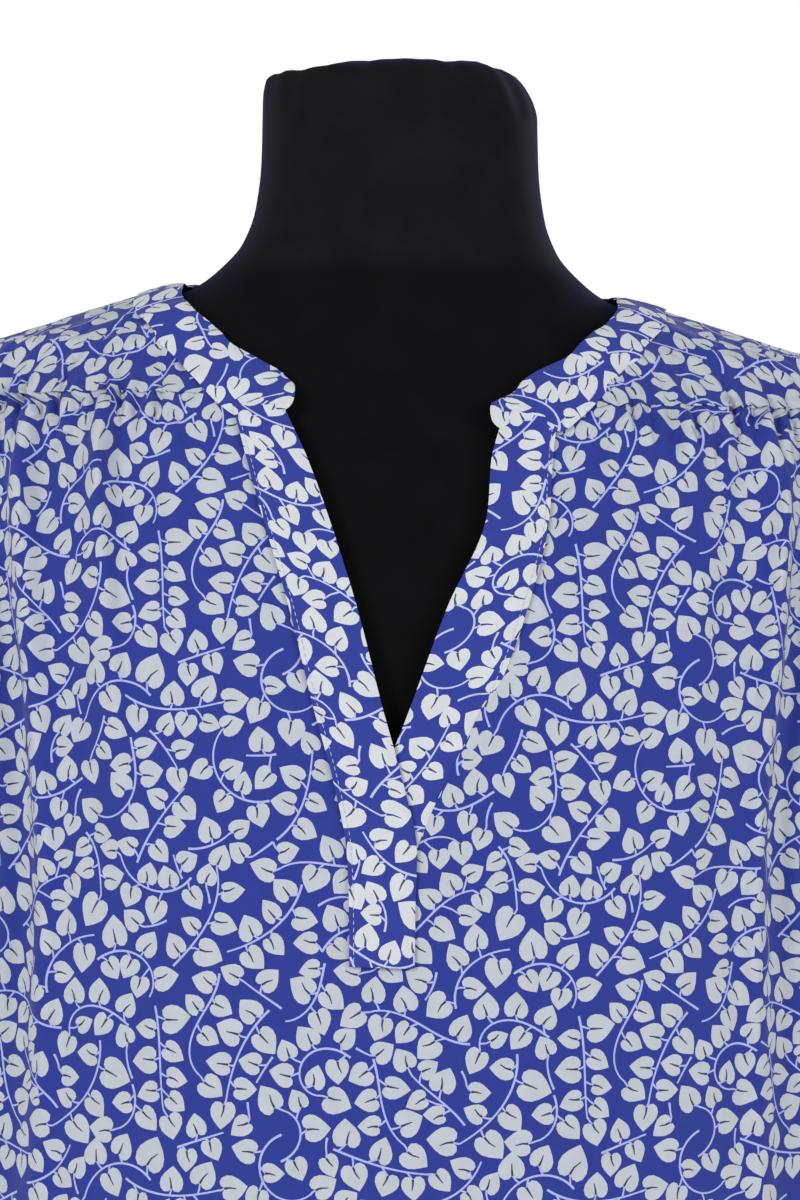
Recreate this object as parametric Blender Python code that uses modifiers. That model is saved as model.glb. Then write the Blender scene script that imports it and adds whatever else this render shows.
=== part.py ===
"""A loose printed blouse on a limbless dress form.

The blouse has a narrow split neckband, an open placket of two lapping bands, a yoke that comes
forward over both shoulders, a front and a back gathered into it, and two short set-in sleeves.
The front faces -Y, up is +Z, and the form's flat underside is at the origin.
Every cloth piece is an open surface read from one set of body rings, thickened outwards.
"""
import math

import bmesh
import bpy
import numpy as np
from mathutils import Vector

WALL = 0.0015
SEAM = 0.0006
HEM = 0.075
UNDERARM = 0.510
SHOULDER_TIP = 0.7045
FRONT_YOKE_SEAM = 0.684
BACK_YOKE_SEAM = 0.640
PLACKET_FOOT = 0.460
LEAN = 0.0033
LEAN_REACH = 0.070
LEAN_START = 0.25
LEAN_FULL = 0.60

# The inner face of the cloth round the body: a ring at each height.
# height, half width, reach to the front, reach to the back, roundness (1 is an ellipse)
CLOTH_RINGS = (
    (0.0750, 0.222, 0.160, 0.158, 0.95),
    (0.2500, 0.204, 0.147, 0.141, 0.92),
    (0.4000, 0.191, 0.138, 0.127, 0.88),
    (0.5000, 0.187, 0.131, 0.119, 0.84),
    (0.5600, 0.191, 0.123, 0.116, 0.80),
    (0.6200, 0.199, 0.109, 0.111, 0.78),
    (0.6600, 0.203, 0.096, 0.105, 0.78),
    (0.6860, 0.203, 0.084, 0.097, 0.80),
    (0.7045, 0.195, 0.073, 0.089, 0.84),
    (0.7108, 0.173, 0.071, 0.086, 0.86),
    (0.7210, 0.141, 0.067, 0.079, 0.90),
    (0.7360, 0.092, 0.063, 0.069, 0.95),
    (0.7400, 0.080, 0.062, 0.067, 0.96),
)

# The dress form, from its flat underside to the flat top of its neck, with the same columns.
FORM_RINGS = (
    (0.0000, 0.162, 0.106, 0.116, 0.94),
    (0.1200, 0.171, 0.110, 0.124, 0.93),
    (0.2300, 0.144, 0.097, 0.104, 0.96),
    (0.3250, 0.124, 0.088, 0.088, 1.00),
    (0.4100, 0.134, 0.102, 0.094, 0.94),
    (0.5000, 0.152, 0.120, 0.104, 0.86),
    (0.5600, 0.163, 0.116, 0.107, 0.82),
    (0.6200, 0.177, 0.103, 0.104, 0.80),
    (0.6600, 0.186, 0.0905, 0.099, 0.80),
    (0.6860, 0.190, 0.0785, 0.091, 0.82),
    (0.7005, 0.187, 0.070, 0.084, 0.86),
    (0.7068, 0.168, 0.068, 0.081, 0.88),
    (0.7180, 0.138, 0.064, 0.075, 0.92),
    (0.7340, 0.091, 0.060, 0.066, 0.97),
    (0.7430, 0.0785, 0.0595, 0.064, 0.99),
    (0.7550, 0.0680, 0.0590, 0.0625, 1.00),
    (0.7700, 0.0625, 0.0585, 0.0610, 1.00),
    (0.7900, 0.0600, 0.0580, 0.0600, 1.00),
    (0.8150, 0.0592, 0.0575, 0.0590, 1.00),
    (0.8210, 0.0578, 0.0562, 0.0576, 1.00),
    (0.8265, 0.0530, 0.0515, 0.0530, 1.00),
    (0.8315, 0.0430, 0.0420, 0.0430, 1.00),
    (0.8350, 0.0280, 0.0272, 0.0280, 1.00),
    (0.8365, 0.0120, 0.0117, 0.0120, 1.00),
)

# The neckband from a front end to the centre back: angle round the body and height of the edge
# sewn to the blouse, then angle and height of the free edge.
NECKBAND = (
    (8.4, 0.6780, 8.3, 0.6885),
    (13.6, 0.6750, 10.0, 0.6945),
    (16.2, 0.6800, 12.5, 0.6990),
    (19.5, 0.6900, 17.5, 0.7062),
    (26.8, 0.7055, 28.5, 0.7168),
    (44.0, 0.7180, 45.0, 0.7262),
    (64.0, 0.7264, 64.0, 0.7330),
    (90.0, 0.7306, 90.0, 0.7366),
    (122.0, 0.7305, 115.0, 0.7380),
    (145.0, 0.7276, 135.0, 0.7385),
    (164.0, 0.7238, 155.0, 0.7385),
    (180.0, 0.7218, 180.0, 0.7385),
)
NECKBAND_ENDS = (8.4, 9.8, 11.2, 12.6, 13.6, 14.6, 15.6, 16.9)
LEFT_END_REACH = 1.2

# The placket's two bands, which lap below the point of the V: height, then distances across of
# the upper band's free edge and its seam, and of the under band's seam and its free edge.
PLACKET = (
    (0.460, 0.0056, -0.0196, 0.0062, -0.0185),
    (0.485, 0.0059, -0.0198, 0.0065, -0.0185),
    (0.505, 0.0066, -0.0208, 0.0100, -0.0165),
    (0.530, 0.0016, -0.0257, 0.0200, -0.0080),
    (0.560, -0.0068, -0.0340, 0.0344, 0.0036),
    (0.600, -0.0172, -0.0443, 0.0498, 0.0183),
    (0.640, -0.0303, -0.0565, 0.0598, 0.0350),
    (0.660, -0.0368, -0.0622, 0.0612, 0.0366),
    (0.684, -0.0440, -0.0690, 0.0640, 0.0378),
)

# The armhole edge: height, angle round the body at the front, angle at the back.
ARMHOLE = (
    (0.5100, 89.9, 90.1),
    (0.5200, 79.0, 101.0),
    (0.5500, 67.0, 113.0),
    (0.6000, 61.5, 118.5),
    (0.6400, 62.0, 118.0),
    (0.6840, 68.0, 112.0),
    (0.6960, 76.0, 104.0),
    (0.7045, 90.0, 90.0),
)

# The yoke's corners: where its front seam starts at the neckband, and the heights of its
# edge's stations round the armhole.
YOKE_START = 18.2
YOKE_RISE = (0.6880, 0.6920, 0.6960, 0.6995, 0.7025, 0.7045)
YOKE_FALL = (0.7035, 0.7015, 0.6985, 0.6950, 0.6905, 0.6840, 0.6700, 0.6550, 0.6400)
YOKE_FRONT_STEPS = 11
YOKE_BACK_STEPS = 8

# The largest folds: angle at the top and at the foot, half width in degrees, rise, the heights
# where the fold starts, reaches its full rise, and has died out.
FRONT_FOLDS = (
    (-32.0, -34.0, 6.0, 0.0075, 0.684, 0.655, 0.330),
    (-47.0, -50.0, 6.5, 0.0085, 0.684, 0.650, 0.150),
    (-22.0, -21.0, 4.5, 0.0030, 0.682, 0.660, 0.560),
    (20.0, 19.0, 5.0, 0.0035, 0.682, 0.655, 0.500),
    (31.0, 34.0, 6.0, 0.0050, 0.684, 0.650, 0.400),
    (46.0, 49.0, 6.5, 0.0085, 0.684, 0.650, 0.120),
    (-11.0, -15.0, 12.0, 0.0130, 0.420, 0.150, 0.000),
    (16.0, 21.0, 13.0, 0.0150, 0.440, 0.140, 0.000),
    (-62.0, -58.0, 11.0, 0.0110, 0.460, 0.160, 0.000),
    (65.0, 60.0, 12.0, 0.0120, 0.440, 0.150, 0.000),
)
BACK_FOLDS = (
    (131.0, 129.0, 6.0, 0.0080, 0.640, 0.600, 0.180),
    (146.0, 145.0, 7.0, 0.0055, 0.640, 0.605, 0.300),
    (163.0, 160.0, 6.5, 0.0070, 0.640, 0.600, 0.220),
    (183.0, 185.0, 7.0, 0.0060, 0.640, 0.605, 0.330),
    (201.0, 204.0, 6.5, 0.0075, 0.640, 0.600, 0.200),
    (216.0, 218.0, 6.0, 0.0055, 0.640, 0.605, 0.280),
    (229.0, 231.0, 6.0, 0.0080, 0.640, 0.600, 0.160),
    (172.0, 174.0, 13.0, 0.0130, 0.400, 0.150, 0.000),
    (212.0, 209.0, 12.0, 0.0110, 0.380, 0.160, 0.000),
    (118.0, 122.0, 11.0, 0.0100, 0.420, 0.150, 0.000),
)

SLEEVE_OPENING = (0.232, 0.078, 0.462)
SLEEVE_OPENING_HALF_WIDTH = 0.030
SLEEVE_OPENING_TILT = 0.010
SLEEVE_SHOULDER_DROP = 0.25

CLOTH_BLUE = (0.055, 0.070, 0.350, 1.0)
FORM_BLACK = (0.010, 0.010, 0.012, 1.0)


def read_between(table):
    """Return a function that reads a table between its rows: smooth, never past a row's value."""
    rows = np.array(table, dtype=float)
    keys, values = rows[:, 0], rows[:, 1:]
    slopes = np.diff(values, axis=0) / np.diff(keys)[:, None]
    before, after = slopes[:-1], slopes[1:]
    same_way = before * after > 0.0
    turns = np.zeros_like(values)
    turns[0], turns[-1] = slopes[0], slopes[-1]
    turns[1:-1][same_way] = 2.0 * (before * after)[same_way] / (before + after)[same_way]

    def at(key):
        key = min(max(key, keys[0]), keys[-1])
        row = min(int(np.searchsorted(keys, key, side="right")) - 1, len(keys) - 2)
        run = keys[row + 1] - keys[row]
        t = (key - keys[row]) / run
        start = values[row] * (1 + 2 * t) + turns[row] * run * t
        end = values[row + 1] * (3 - 2 * t) + turns[row + 1] * run * (t - 1)
        return start * (1 - t) ** 2 + end * t ** 2

    return at


cloth_ring = read_between(CLOTH_RINGS)
form_ring = read_between(FORM_RINGS)
neckband_row = read_between(NECKBAND)
placket = read_between(PLACKET)
armhole = read_between(ARMHOLE)


def ease(value, start, end):
    """Soft step from 0 at start to 1 at end."""
    t = min(max((value - start) / (end - start), 0.0), 1.0)
    return t * t * (3.0 - 2.0 * t)


def on_ring(ring, angle, height):
    """Point on a body ring. Angle 0 is the centre front, 90 the +X side and 180 the back."""
    side, front, back, roundness = ring(height)
    across, ahead = math.sin(math.radians(angle)), math.cos(math.radians(angle))
    x = math.copysign(side * abs(across) ** roundness, across)
    y = -math.copysign((front if ahead > 0 else back) * abs(ahead) ** roundness, ahead)
    lean = LEAN * math.tanh(x / LEAN_REACH) * ease(height, LEAN_START, LEAN_FULL)
    return Vector((x, y, height - lean))


def angle_at(x, height):
    """Angle on the front half of the cloth's ring at a distance across."""
    side, _, _, roundness = cloth_ring(height)
    share = min(abs(x) / side, 1.0) ** (1.0 / roundness)
    return math.copysign(math.degrees(math.asin(share)), x)


def outward(angle, height):
    """Unit normal of the cloth's plain surface, pointing away from the body."""
    step_angle, step_height = 0.5, 0.0015
    along = on_ring(cloth_ring, angle + step_angle, height) - on_ring(cloth_ring, angle - step_angle, height)
    up = on_ring(cloth_ring, angle, height + step_height) - on_ring(cloth_ring, angle, height - step_height)
    return along.cross(up).normalized()


def fold_rise(folds, angle, height):
    """How far the folds lift the cloth off its plain surface."""
    rise = 0.0
    for top_angle, foot_angle, half_width, depth, top, full, foot in folds:
        if foot < height < top:
            down = (top - height) / (top - foot)
            offset = (angle - top_angle - (foot_angle - top_angle) * down) / half_width
            if abs(offset) < 1.0:
                strength = ease(height, top, full) * (1.0 - ease(height, full, foot))
                rise += depth * strength * math.cos(offset * math.pi / 2) ** 2
    return rise


def cloth_point(angle, height, folds=(), rise=0.0):
    """Point on the cloth, lifted by its folds and by a layer's own rise."""
    lift = rise + fold_rise(folds, angle, height)
    point = on_ring(cloth_ring, angle, height)
    return point + outward(angle, height) * lift if lift else point


def material(name, color, roughness):
    made = bpy.data.materials.new(name)
    made.use_nodes = True
    shader = made.node_tree.nodes["Principled BSDF"]
    shader.inputs["Base Color"].default_value = color
    shader.inputs["Roughness"].default_value = roughness
    shader.inputs["Metallic"].default_value = 0.0
    return made


def add_object(name, bm, collection, color, roughness):
    mesh = bpy.data.meshes.new(name)
    bm.to_mesh(mesh)
    bm.free()
    mesh.shade_smooth()
    mesh.materials.append(material(name, color, roughness))
    made = bpy.data.objects.new(name, mesh)
    collection.objects.link(made)
    return made


def add_cloth(name, bm, collection):
    """Turn an open surface, its face outwards, into a wall of cloth."""
    made = add_object(name, bm, collection, CLOTH_BLUE, 0.75)
    wall = made.modifiers.new("wall", "SOLIDIFY")
    wall.thickness = WALL
    wall.offset = 1.0
    wall.use_even_offset = True
    return made


def grid_panel(columns, rows, place, cut_out=None):
    """Grid of faces; place(column, row) gives a corner's point, with row 0 at the top edge."""
    bm = bmesh.new()
    bmesh.ops.create_grid(bm, x_segments=columns, y_segments=rows, size=1.0)
    spots = {vert: (round((vert.co.x + 1) / 2 * columns), round((1 - vert.co.y) / 2 * rows))
             for vert in bm.verts}
    if cut_out:
        middles = {face: face.calc_center_median() for face in bm.faces}
        gone = [face for face, middle in middles.items()
                if cut_out((middle.x + 1) / 2 * columns, (1 - middle.y) / 2 * rows)]
        bmesh.ops.delete(bm, geom=gone, context="FACES")
    for vert in bm.verts:
        vert.co = place(*spots[vert])
    return bm


def stacked_rings(rings, segments, capped):
    """Tube grown ring by ring from a circle; each ring is a function of the angle in degrees."""
    bm = bmesh.new()
    bmesh.ops.create_circle(bm, cap_ends=capped, segments=segments, radius=1.0)
    loop = sorted(bm.verts, key=lambda vert: math.atan2(vert.co.y, vert.co.x) % math.tau)
    angles = [360.0 * index / segments for index in range(segments)]
    edges = [edge for edge in bm.edges]
    for number, ring in enumerate(rings):
        if number:
            grown = bmesh.ops.extrude_edge_only(bm, edges=edges)["geom"]
            edges = [item for item in grown if isinstance(item, bmesh.types.BMEdge)
                     and all(vert not in loop for vert in item.verts)]
            loop = [next(edge.other_vert(vert) for edge in vert.link_edges
                         if edge.other_vert(vert) not in loop and edge.other_vert(vert) in grown)
                    for vert in loop]
        for vert, angle in zip(loop, angles):
            vert.co = ring(angle)
    if capped:
        bmesh.ops.contextual_create(bm, geom=edges)
    bmesh.ops.recalc_face_normals(bm, faces=bm.faces)
    return bm


def dress_form(collection):
    """Torso with a neck, flat below and on top, as one closed solid."""
    heights = np.concatenate((
        np.linspace(0.0, 0.62, 13, endpoint=False),
        np.linspace(0.62, 0.76, 16, endpoint=False),
        (0.76, 0.77, 0.79, 0.815, 0.821, 0.8265, 0.8315, 0.835, 0.8365),
    ))
    rings = [lambda angle, height=float(height): on_ring(form_ring, angle, height) for height in heights]
    add_object("dress_form", stacked_rings(rings, 48, True), collection, FORM_BLACK, 0.8)


def between_levels(row, levels, counts):
    """Height of a row, with a given count of rows from each level to the next."""
    for top, bottom, count in zip(levels, levels[1:], counts):
        if row <= count:
            return top + (bottom - top) * row / count
        row -= count
    return levels[-1]


def neckband_seam(angle):
    """Height of the seam under the neckband."""
    return float(neckband_row(min(abs(angle), 360.0 - abs(angle)))[0])


def front_top(angle):
    """Height of the front's top edge: under the neckband, then under the yoke."""
    return min(neckband_seam(angle) - SEAM, FRONT_YOKE_SEAM) - SEAM


def yoke_edge():
    """The yoke's lower edge as (angle, height), from its front seam to the centre back."""
    corner = float(armhole(FRONT_YOKE_SEAM)[0])
    last = float(armhole(BACK_YOKE_SEAM)[1])
    edge = [(angle, FRONT_YOKE_SEAM) for angle in np.linspace(YOKE_START, corner, YOKE_FRONT_STEPS + 1)]
    edge += [(float(armhole(height)[0]), height) for height in YOKE_RISE]
    edge += [(float(armhole(height)[1]), height) for height in YOKE_FALL]
    edge += [(angle, BACK_YOKE_SEAM) for angle in np.linspace(last, 180.0, YOKE_BACK_STEPS + 1)[1:]]
    return edge


def front(collection):
    """Front panel, cut out for the placket and gathered into neckband and yoke."""
    strip_columns = 2
    rows_between_levels = (9, 3, 9)
    rows_above_foot = sum(rows_between_levels[:2])
    seam_angles = [abs(angle_at(x, FRONT_YOKE_SEAM)) for x in placket(FRONT_YOKE_SEAM)[1:3]]
    corner = float(armhole(FRONT_YOKE_SEAM)[0])
    top_angles = list(NECKBAND_ENDS[-2:]) + [edge[0] for edge in yoke_edge()[:YOKE_FRONT_STEPS + 1]]
    shares = [[0.0] + [(angle - inner) / (corner - inner) for angle in top_angles] for inner in seam_angles]
    half_columns = len(shares[0]) - 1
    columns = 2 * half_columns + strip_columns

    def angle_on(side, share, height):
        inner = angle_at(placket(height)[2 if side > 0 else 1] + side * SEAM, height)
        outer = side * (float(armhole(height)[0]) if height > UNDERARM else 89.9)
        return inner + (outer - inner) * share

    def place(column, row):
        side, share, top = 0, 0.0, FRONT_YOKE_SEAM
        if column <= half_columns:
            side, share = -1, shares[0][half_columns - column]
        elif column >= half_columns + strip_columns:
            side, share = 1, shares[1][column - half_columns - strip_columns]
        if side:
            for _ in range(4):
                top = front_top(angle_on(side, share, top))
        height = between_levels(row, (top, UNDERARM, PLACKET_FOOT - SEAM, HEM), rows_between_levels)
        if side:
            return cloth_point(angle_on(side, share, height), height, FRONT_FOLDS)
        left, right = placket(height)[1:3]
        across = left + (right - left) * (column - half_columns) / strip_columns
        return cloth_point(angle_at(across, height), height, FRONT_FOLDS)

    def cut_out(column, row):
        return half_columns < column < half_columns + strip_columns and row < rows_above_foot

    add_cloth("front", grid_panel(columns, sum(rows_between_levels), place, cut_out), collection)


def back(collection):
    """Back panel, gathered into the yoke."""
    columns = 32
    rows_between_levels = (6, 10)

    def place(column, row):
        height = between_levels(row, (BACK_YOKE_SEAM - SEAM, UNDERARM, HEM), rows_between_levels)
        start = float(armhole(height)[1]) if height > UNDERARM else 90.1
        angle = start + (360.0 - 2 * start) * column / columns
        return cloth_point(angle, height, BACK_FOLDS)

    add_cloth("back", grid_panel(columns, sum(rows_between_levels), place), collection)


def yoke(collection):
    """Yoke from the front seam over one shoulder, across the back and over the other shoulder."""
    rows = 5
    half = yoke_edge()
    stations = half + [(360.0 - angle, height) for angle, height in reversed(half[:-1])]

    def place(column, row):
        angle, bottom = stations[column]
        top = neckband_seam(angle) - SEAM
        return cloth_point(angle, top + (bottom - top) * row / rows)

    add_cloth("yoke", grid_panel(len(stations) - 1, rows, place), collection)


def neckband(collection):
    """Narrow band round the neck, its two ends at the top of the placket."""
    rows = 3
    half = list(NECKBAND_ENDS) + [edge[0] for edge in yoke_edge()]
    stations = half + [360.0 - angle for angle in reversed(half[:-1])]

    def place(column, row):
        sewn_angle = stations[column]
        sewn_height, free_angle, free_height = neckband_row(min(sewn_angle, 360.0 - sewn_angle))
        if sewn_angle > 180.0:
            free_angle = 360.0 - free_angle
        else:
            reach = LEFT_END_REACH * (1.0 - ease(sewn_angle, NECKBAND_ENDS[0], NECKBAND_ENDS[3]))
            sewn_angle, free_angle = sewn_angle - reach, free_angle - reach
        part = row / rows
        return cloth_point(free_angle + (sewn_angle - free_angle) * part,
                           free_height + (sewn_height - free_height) * part)

    add_cloth("neckband", grid_panel(len(stations) - 1, rows, place), collection)


def placket_band(name, collection, side):
    """One placket band; the one on side -1 laps over the other below the point of the V."""
    columns, rows = 3, 20
    free_column, sewn_column = (0, 1) if side < 0 else (3, 2)

    def place(column, row):
        share = column / columns if side > 0 else 1.0 - column / columns

        def angle(height):
            edges = placket(height)
            free, sewn = edges[free_column], edges[sewn_column]
            return angle_at(free + (sewn - free) * share, height)

        top = FRONT_YOKE_SEAM
        for _ in range(4):
            top = front_top(angle(top))
        height = top + (PLACKET_FOOT - top) * row / rows
        tuck = 0.0 if side < 0 else (WALL + 2 * SEAM) * (1.0 - ease(height, 0.556, 0.600))
        return cloth_point(angle(height), height, rise=-tuck)

    add_cloth(name, grid_panel(columns, rows, place), collection)


def sleeve(name, collection, side):
    """Short set-in sleeve that hangs empty from the armhole."""
    segments, ring_count = 28, 9
    opening_x, opening_y, opening_z = SLEEVE_OPENING
    middle, half = (SHOULDER_TIP + UNDERARM) / 2, (SHOULDER_TIP - UNDERARM) / 2

    def ring_at(share):
        def ring(angle):
            high, ahead = math.cos(math.radians(angle)), math.sin(math.radians(angle))
            height = middle + half * high
            edge = armhole(height)[0 if ahead >= 0 else 1]
            start = on_ring(cloth_ring, side * float(edge), height)
            start.x += side * (2 * SEAM + WALL * (5.0 - 3.0 * high) / 4)
            end = Vector((side * (opening_x + SLEEVE_OPENING_HALF_WIDTH * high),
                          -opening_y * ahead, opening_z + SLEEVE_OPENING_TILT * high))
            bend = Vector((end.x, (start.y + end.y) / 2,
                           start.z + (end.z - start.z) * SLEEVE_SHOULDER_DROP))
            return start * (1 - share) ** 2 + bend * 2 * share * (1 - share) + end * share ** 2
        return ring

    rings = [ring_at(number / (ring_count - 1)) for number in range(ring_count)]
    add_cloth(name, stacked_rings(rings, segments, False), collection)


def build():
    for old in list(bpy.data.objects):
        bpy.data.objects.remove(old)
    collection = bpy.data.collections.new("blouse_on_dress_form")
    bpy.context.scene.collection.children.link(collection)
    dress_form(collection)
    back(collection)
    front(collection)
    yoke(collection)
    neckband(collection)
    placket_band("placket_upper", collection, -1)
    placket_band("placket_under", collection, 1)
    sleeve("sleeve_right", collection, -1)
    sleeve("sleeve_left", collection, 1)


build()
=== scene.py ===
"""A loose printed crepe blouse on a black limbless dress form. The front faces -Y, up is +Z."""
import math
import random

import bmesh
import bpy
import numpy as np
from mathutils import Matrix, Vector
from mathutils.geometry import delaunay_2d_cdt


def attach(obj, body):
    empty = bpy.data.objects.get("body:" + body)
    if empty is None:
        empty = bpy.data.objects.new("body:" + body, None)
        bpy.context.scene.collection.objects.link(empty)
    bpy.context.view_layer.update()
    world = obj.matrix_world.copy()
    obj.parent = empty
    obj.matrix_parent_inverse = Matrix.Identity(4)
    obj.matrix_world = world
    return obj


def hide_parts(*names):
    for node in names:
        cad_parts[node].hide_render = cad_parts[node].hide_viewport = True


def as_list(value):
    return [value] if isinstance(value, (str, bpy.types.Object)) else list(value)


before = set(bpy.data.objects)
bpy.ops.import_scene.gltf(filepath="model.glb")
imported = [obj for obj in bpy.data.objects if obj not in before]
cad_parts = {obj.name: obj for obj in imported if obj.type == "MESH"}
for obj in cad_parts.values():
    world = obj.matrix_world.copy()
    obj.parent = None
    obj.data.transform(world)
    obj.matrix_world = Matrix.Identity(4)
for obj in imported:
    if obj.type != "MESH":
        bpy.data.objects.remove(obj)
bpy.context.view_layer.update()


# ---------------------------------------------------------------------------------------------
# DRESS FORM
# A padded display torso without limbs, covered in black cotton jersey that is pulled up over
# the neck and stitched to a round pad on its top. It stands on its own flat base.
# ---------------------------------------------------------------------------------------------
# height, half width, reach to the front, reach to the back, roundness (1 is an ellipse)
FORM_RINGS = (
    (0.0000, 0.162, 0.106, 0.116, 0.94), (0.1200, 0.171, 0.110, 0.124, 0.93),
    (0.2300, 0.144, 0.097, 0.104, 0.96), (0.3250, 0.124, 0.088, 0.088, 1.00),
    (0.4100, 0.134, 0.102, 0.094, 0.94), (0.5000, 0.152, 0.120, 0.104, 0.86),
    (0.5600, 0.163, 0.116, 0.107, 0.82), (0.6200, 0.177, 0.103, 0.104, 0.80),
    (0.6600, 0.186, 0.0905, 0.099, 0.80), (0.6860, 0.190, 0.0785, 0.091, 0.82),
    (0.7005, 0.187, 0.070, 0.084, 0.86), (0.7068, 0.168, 0.068, 0.081, 0.88),
    (0.7180, 0.138, 0.064, 0.075, 0.92), (0.7340, 0.091, 0.060, 0.066, 0.97),
    (0.7430, 0.0785, 0.0595, 0.064, 0.99), (0.7550, 0.0680, 0.0590, 0.0625, 1.00),
    (0.7700, 0.0625, 0.0585, 0.0610, 1.00), (0.7900, 0.0600, 0.0580, 0.0600, 1.00),
    (0.8150, 0.0592, 0.0575, 0.0590, 1.00), (0.8200, 0.0583, 0.0567, 0.0581, 1.00),
    (0.8245, 0.0557, 0.0542, 0.0556, 1.00), (0.8282, 0.0505, 0.0492, 0.0505, 1.00),
    (0.8307, 0.0425, 0.0414, 0.0425, 1.00), (0.8324, 0.0300, 0.0292, 0.0300, 1.00),
    (0.8332, 0.0120, 0.0117, 0.0120, 1.00),
)
# The form stands a little crooked: the drop of its +X side (and rise of the other), the distance
# across over which it comes in, and the heights where it starts and is full.
LEAN, LEAN_REACH, LEAN_START, LEAN_FULL = 0.0033, 0.070, 0.25, 0.60


def between(table):
    """Return a function that reads a table between its rows, as one smooth array a column."""
    rows = np.array(table, dtype=float)
    keys, values = rows[:, 0], rows[:, 1:]
    slopes = np.diff(values, axis=0) / np.diff(keys)[:, None]
    before, after = slopes[:-1], slopes[1:]
    same_way = before * after > 0.0
    turns = np.zeros_like(values)
    turns[0], turns[-1] = slopes[0], slopes[-1]
    turns[1:-1][same_way] = 2.0 * (before * after)[same_way] / (before + after)[same_way]

    def at(key):
        key = np.clip(np.asarray(key, dtype=float), keys[0], keys[-1])
        row = np.clip(np.searchsorted(keys, key, side="right") - 1, 0, len(keys) - 2)
        run = (keys[row + 1] - keys[row])[..., None]
        t = (key - keys[row])[..., None] / run
        start = values[row] * (1 + 2 * t) + turns[row] * run * t
        end = values[row + 1] * (3 - 2 * t) + turns[row + 1] * run * (t - 1)
        return np.moveaxis(start * (1 - t) ** 2 + end * t ** 2, -1, 0)

    return at


def ease(value, start, end):
    """Soft step from 0 at start to 1 at end."""
    t = np.clip((value - start) / (end - start), 0.0, 1.0)
    return t * t * (3.0 - 2.0 * t)


def on_ring(ring, angle, height):
    """Points on a body ring. Angle 0 is the centre front, 90 the +X side and 180 the back."""
    angle, height = np.broadcast_arrays(np.asarray(angle, dtype=float), np.asarray(height, dtype=float))
    side, front, back, roundness = ring(height)
    across, ahead = np.sin(np.radians(angle)), np.cos(np.radians(angle))
    x = np.sign(across) * side * np.abs(across) ** roundness
    y = -np.sign(ahead) * np.where(ahead > 0, front, back) * np.abs(ahead) ** roundness
    lean = LEAN * np.tanh(x / LEAN_REACH) * ease(height, LEAN_START, LEAN_FULL)
    return np.stack((x, y, height - lean), axis=-1)


def outward(ring, angle, height):
    """Unit normals of a body ring's surface, away from the body."""
    along = on_ring(ring, angle + 0.5, height) - on_ring(ring, angle - 0.5, height)
    up = on_ring(ring, angle, height + 0.0015) - on_ring(ring, angle, height - 0.0015)
    normal = np.cross(along, up)
    return normal / np.linalg.norm(normal, axis=-1, keepdims=True)


def linear(hex_colour):
    """Linear RGBA of an sRGB hex colour."""
    parts = [int(hex_colour[index:index + 2], 16) / 255 for index in (1, 3, 5)]
    return [part / 12.92 if part <= 0.04045 else ((part + 0.055) / 1.055) ** 2.4 for part in parts] + [1.0]


def node(tree, kind, settings=None, links=None):
    """Add a node; settings are its properties or input values, links join other nodes' sockets."""
    made = tree.nodes.new(kind)
    for key, value in (settings or {}).items():
        if isinstance(key, str) and hasattr(made, key):
            setattr(made, key, value)
        else:
            made.inputs[key].default_value = value
    for key, socket in (links or {}).items():
        tree.links.new(socket, made.inputs[key])
    return made


def new_material(name):
    """An empty node material and its tree."""
    made = bpy.data.materials.new(name)
    made.use_nodes = True
    made.node_tree.nodes.clear()
    return made, made.node_tree


def finish_material(tree, shader):
    """Join the shader to the material's output."""
    node(tree, "ShaderNodeOutputMaterial", links={"Surface": shader.outputs[0]})


def add_object(name, mesh, material):
    """An object at the origin, with its place in its mesh."""
    mesh.materials.append(material)
    made = bpy.data.objects.new(name, mesh)
    bpy.context.scene.collection.objects.link(made)
    return made


form_ring = between(FORM_RINGS)

# Black cotton jersey: dull, near black, with fine knitted columns and a soft edge sheen.
# The neck is painted paler than the rest, painted light for the brighter light that falls on it: the height
# where that starts, its blend, and how much paler it is.
NECK_LIGHT_FOOT, NECK_LIGHT_BLEND, NECK_PAINTED_LIGHT = 0.7440, 0.004, 1.9
JERSEY_WALE = 0.0011  # a little coarser than the real 0.7 mm columns, so that they show
JERSEY_BLACKS = ("#0A0A0C", "#0F0E10")
jersey, tree = new_material("black cotton jersey, knitted")
place = node(tree, "ShaderNodeTexCoord")
wales = node(tree, "ShaderNodeTexNoise", {"Scale": 1.0 / JERSEY_WALE, "Detail": 2.0, "Roughness": 0.6},
             {"Vector": place.outputs["Object"]})
fibre = node(tree, "ShaderNodeTexNoise", {"Scale": 60.0, "Detail": 4.0}, {"Vector": place.outputs["Object"]})
tone = node(tree, "ShaderNodeValToRGB", links={"Fac": fibre.outputs["Fac"]})
for stop, position, black in zip(tone.color_ramp.elements, (0.3, 0.7), JERSEY_BLACKS):
    stop.position = position
    stop.color = linear(black)
height_on_form = node(tree, "ShaderNodeSeparateXYZ", links={"Vector": place.outputs["Object"]})
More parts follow.
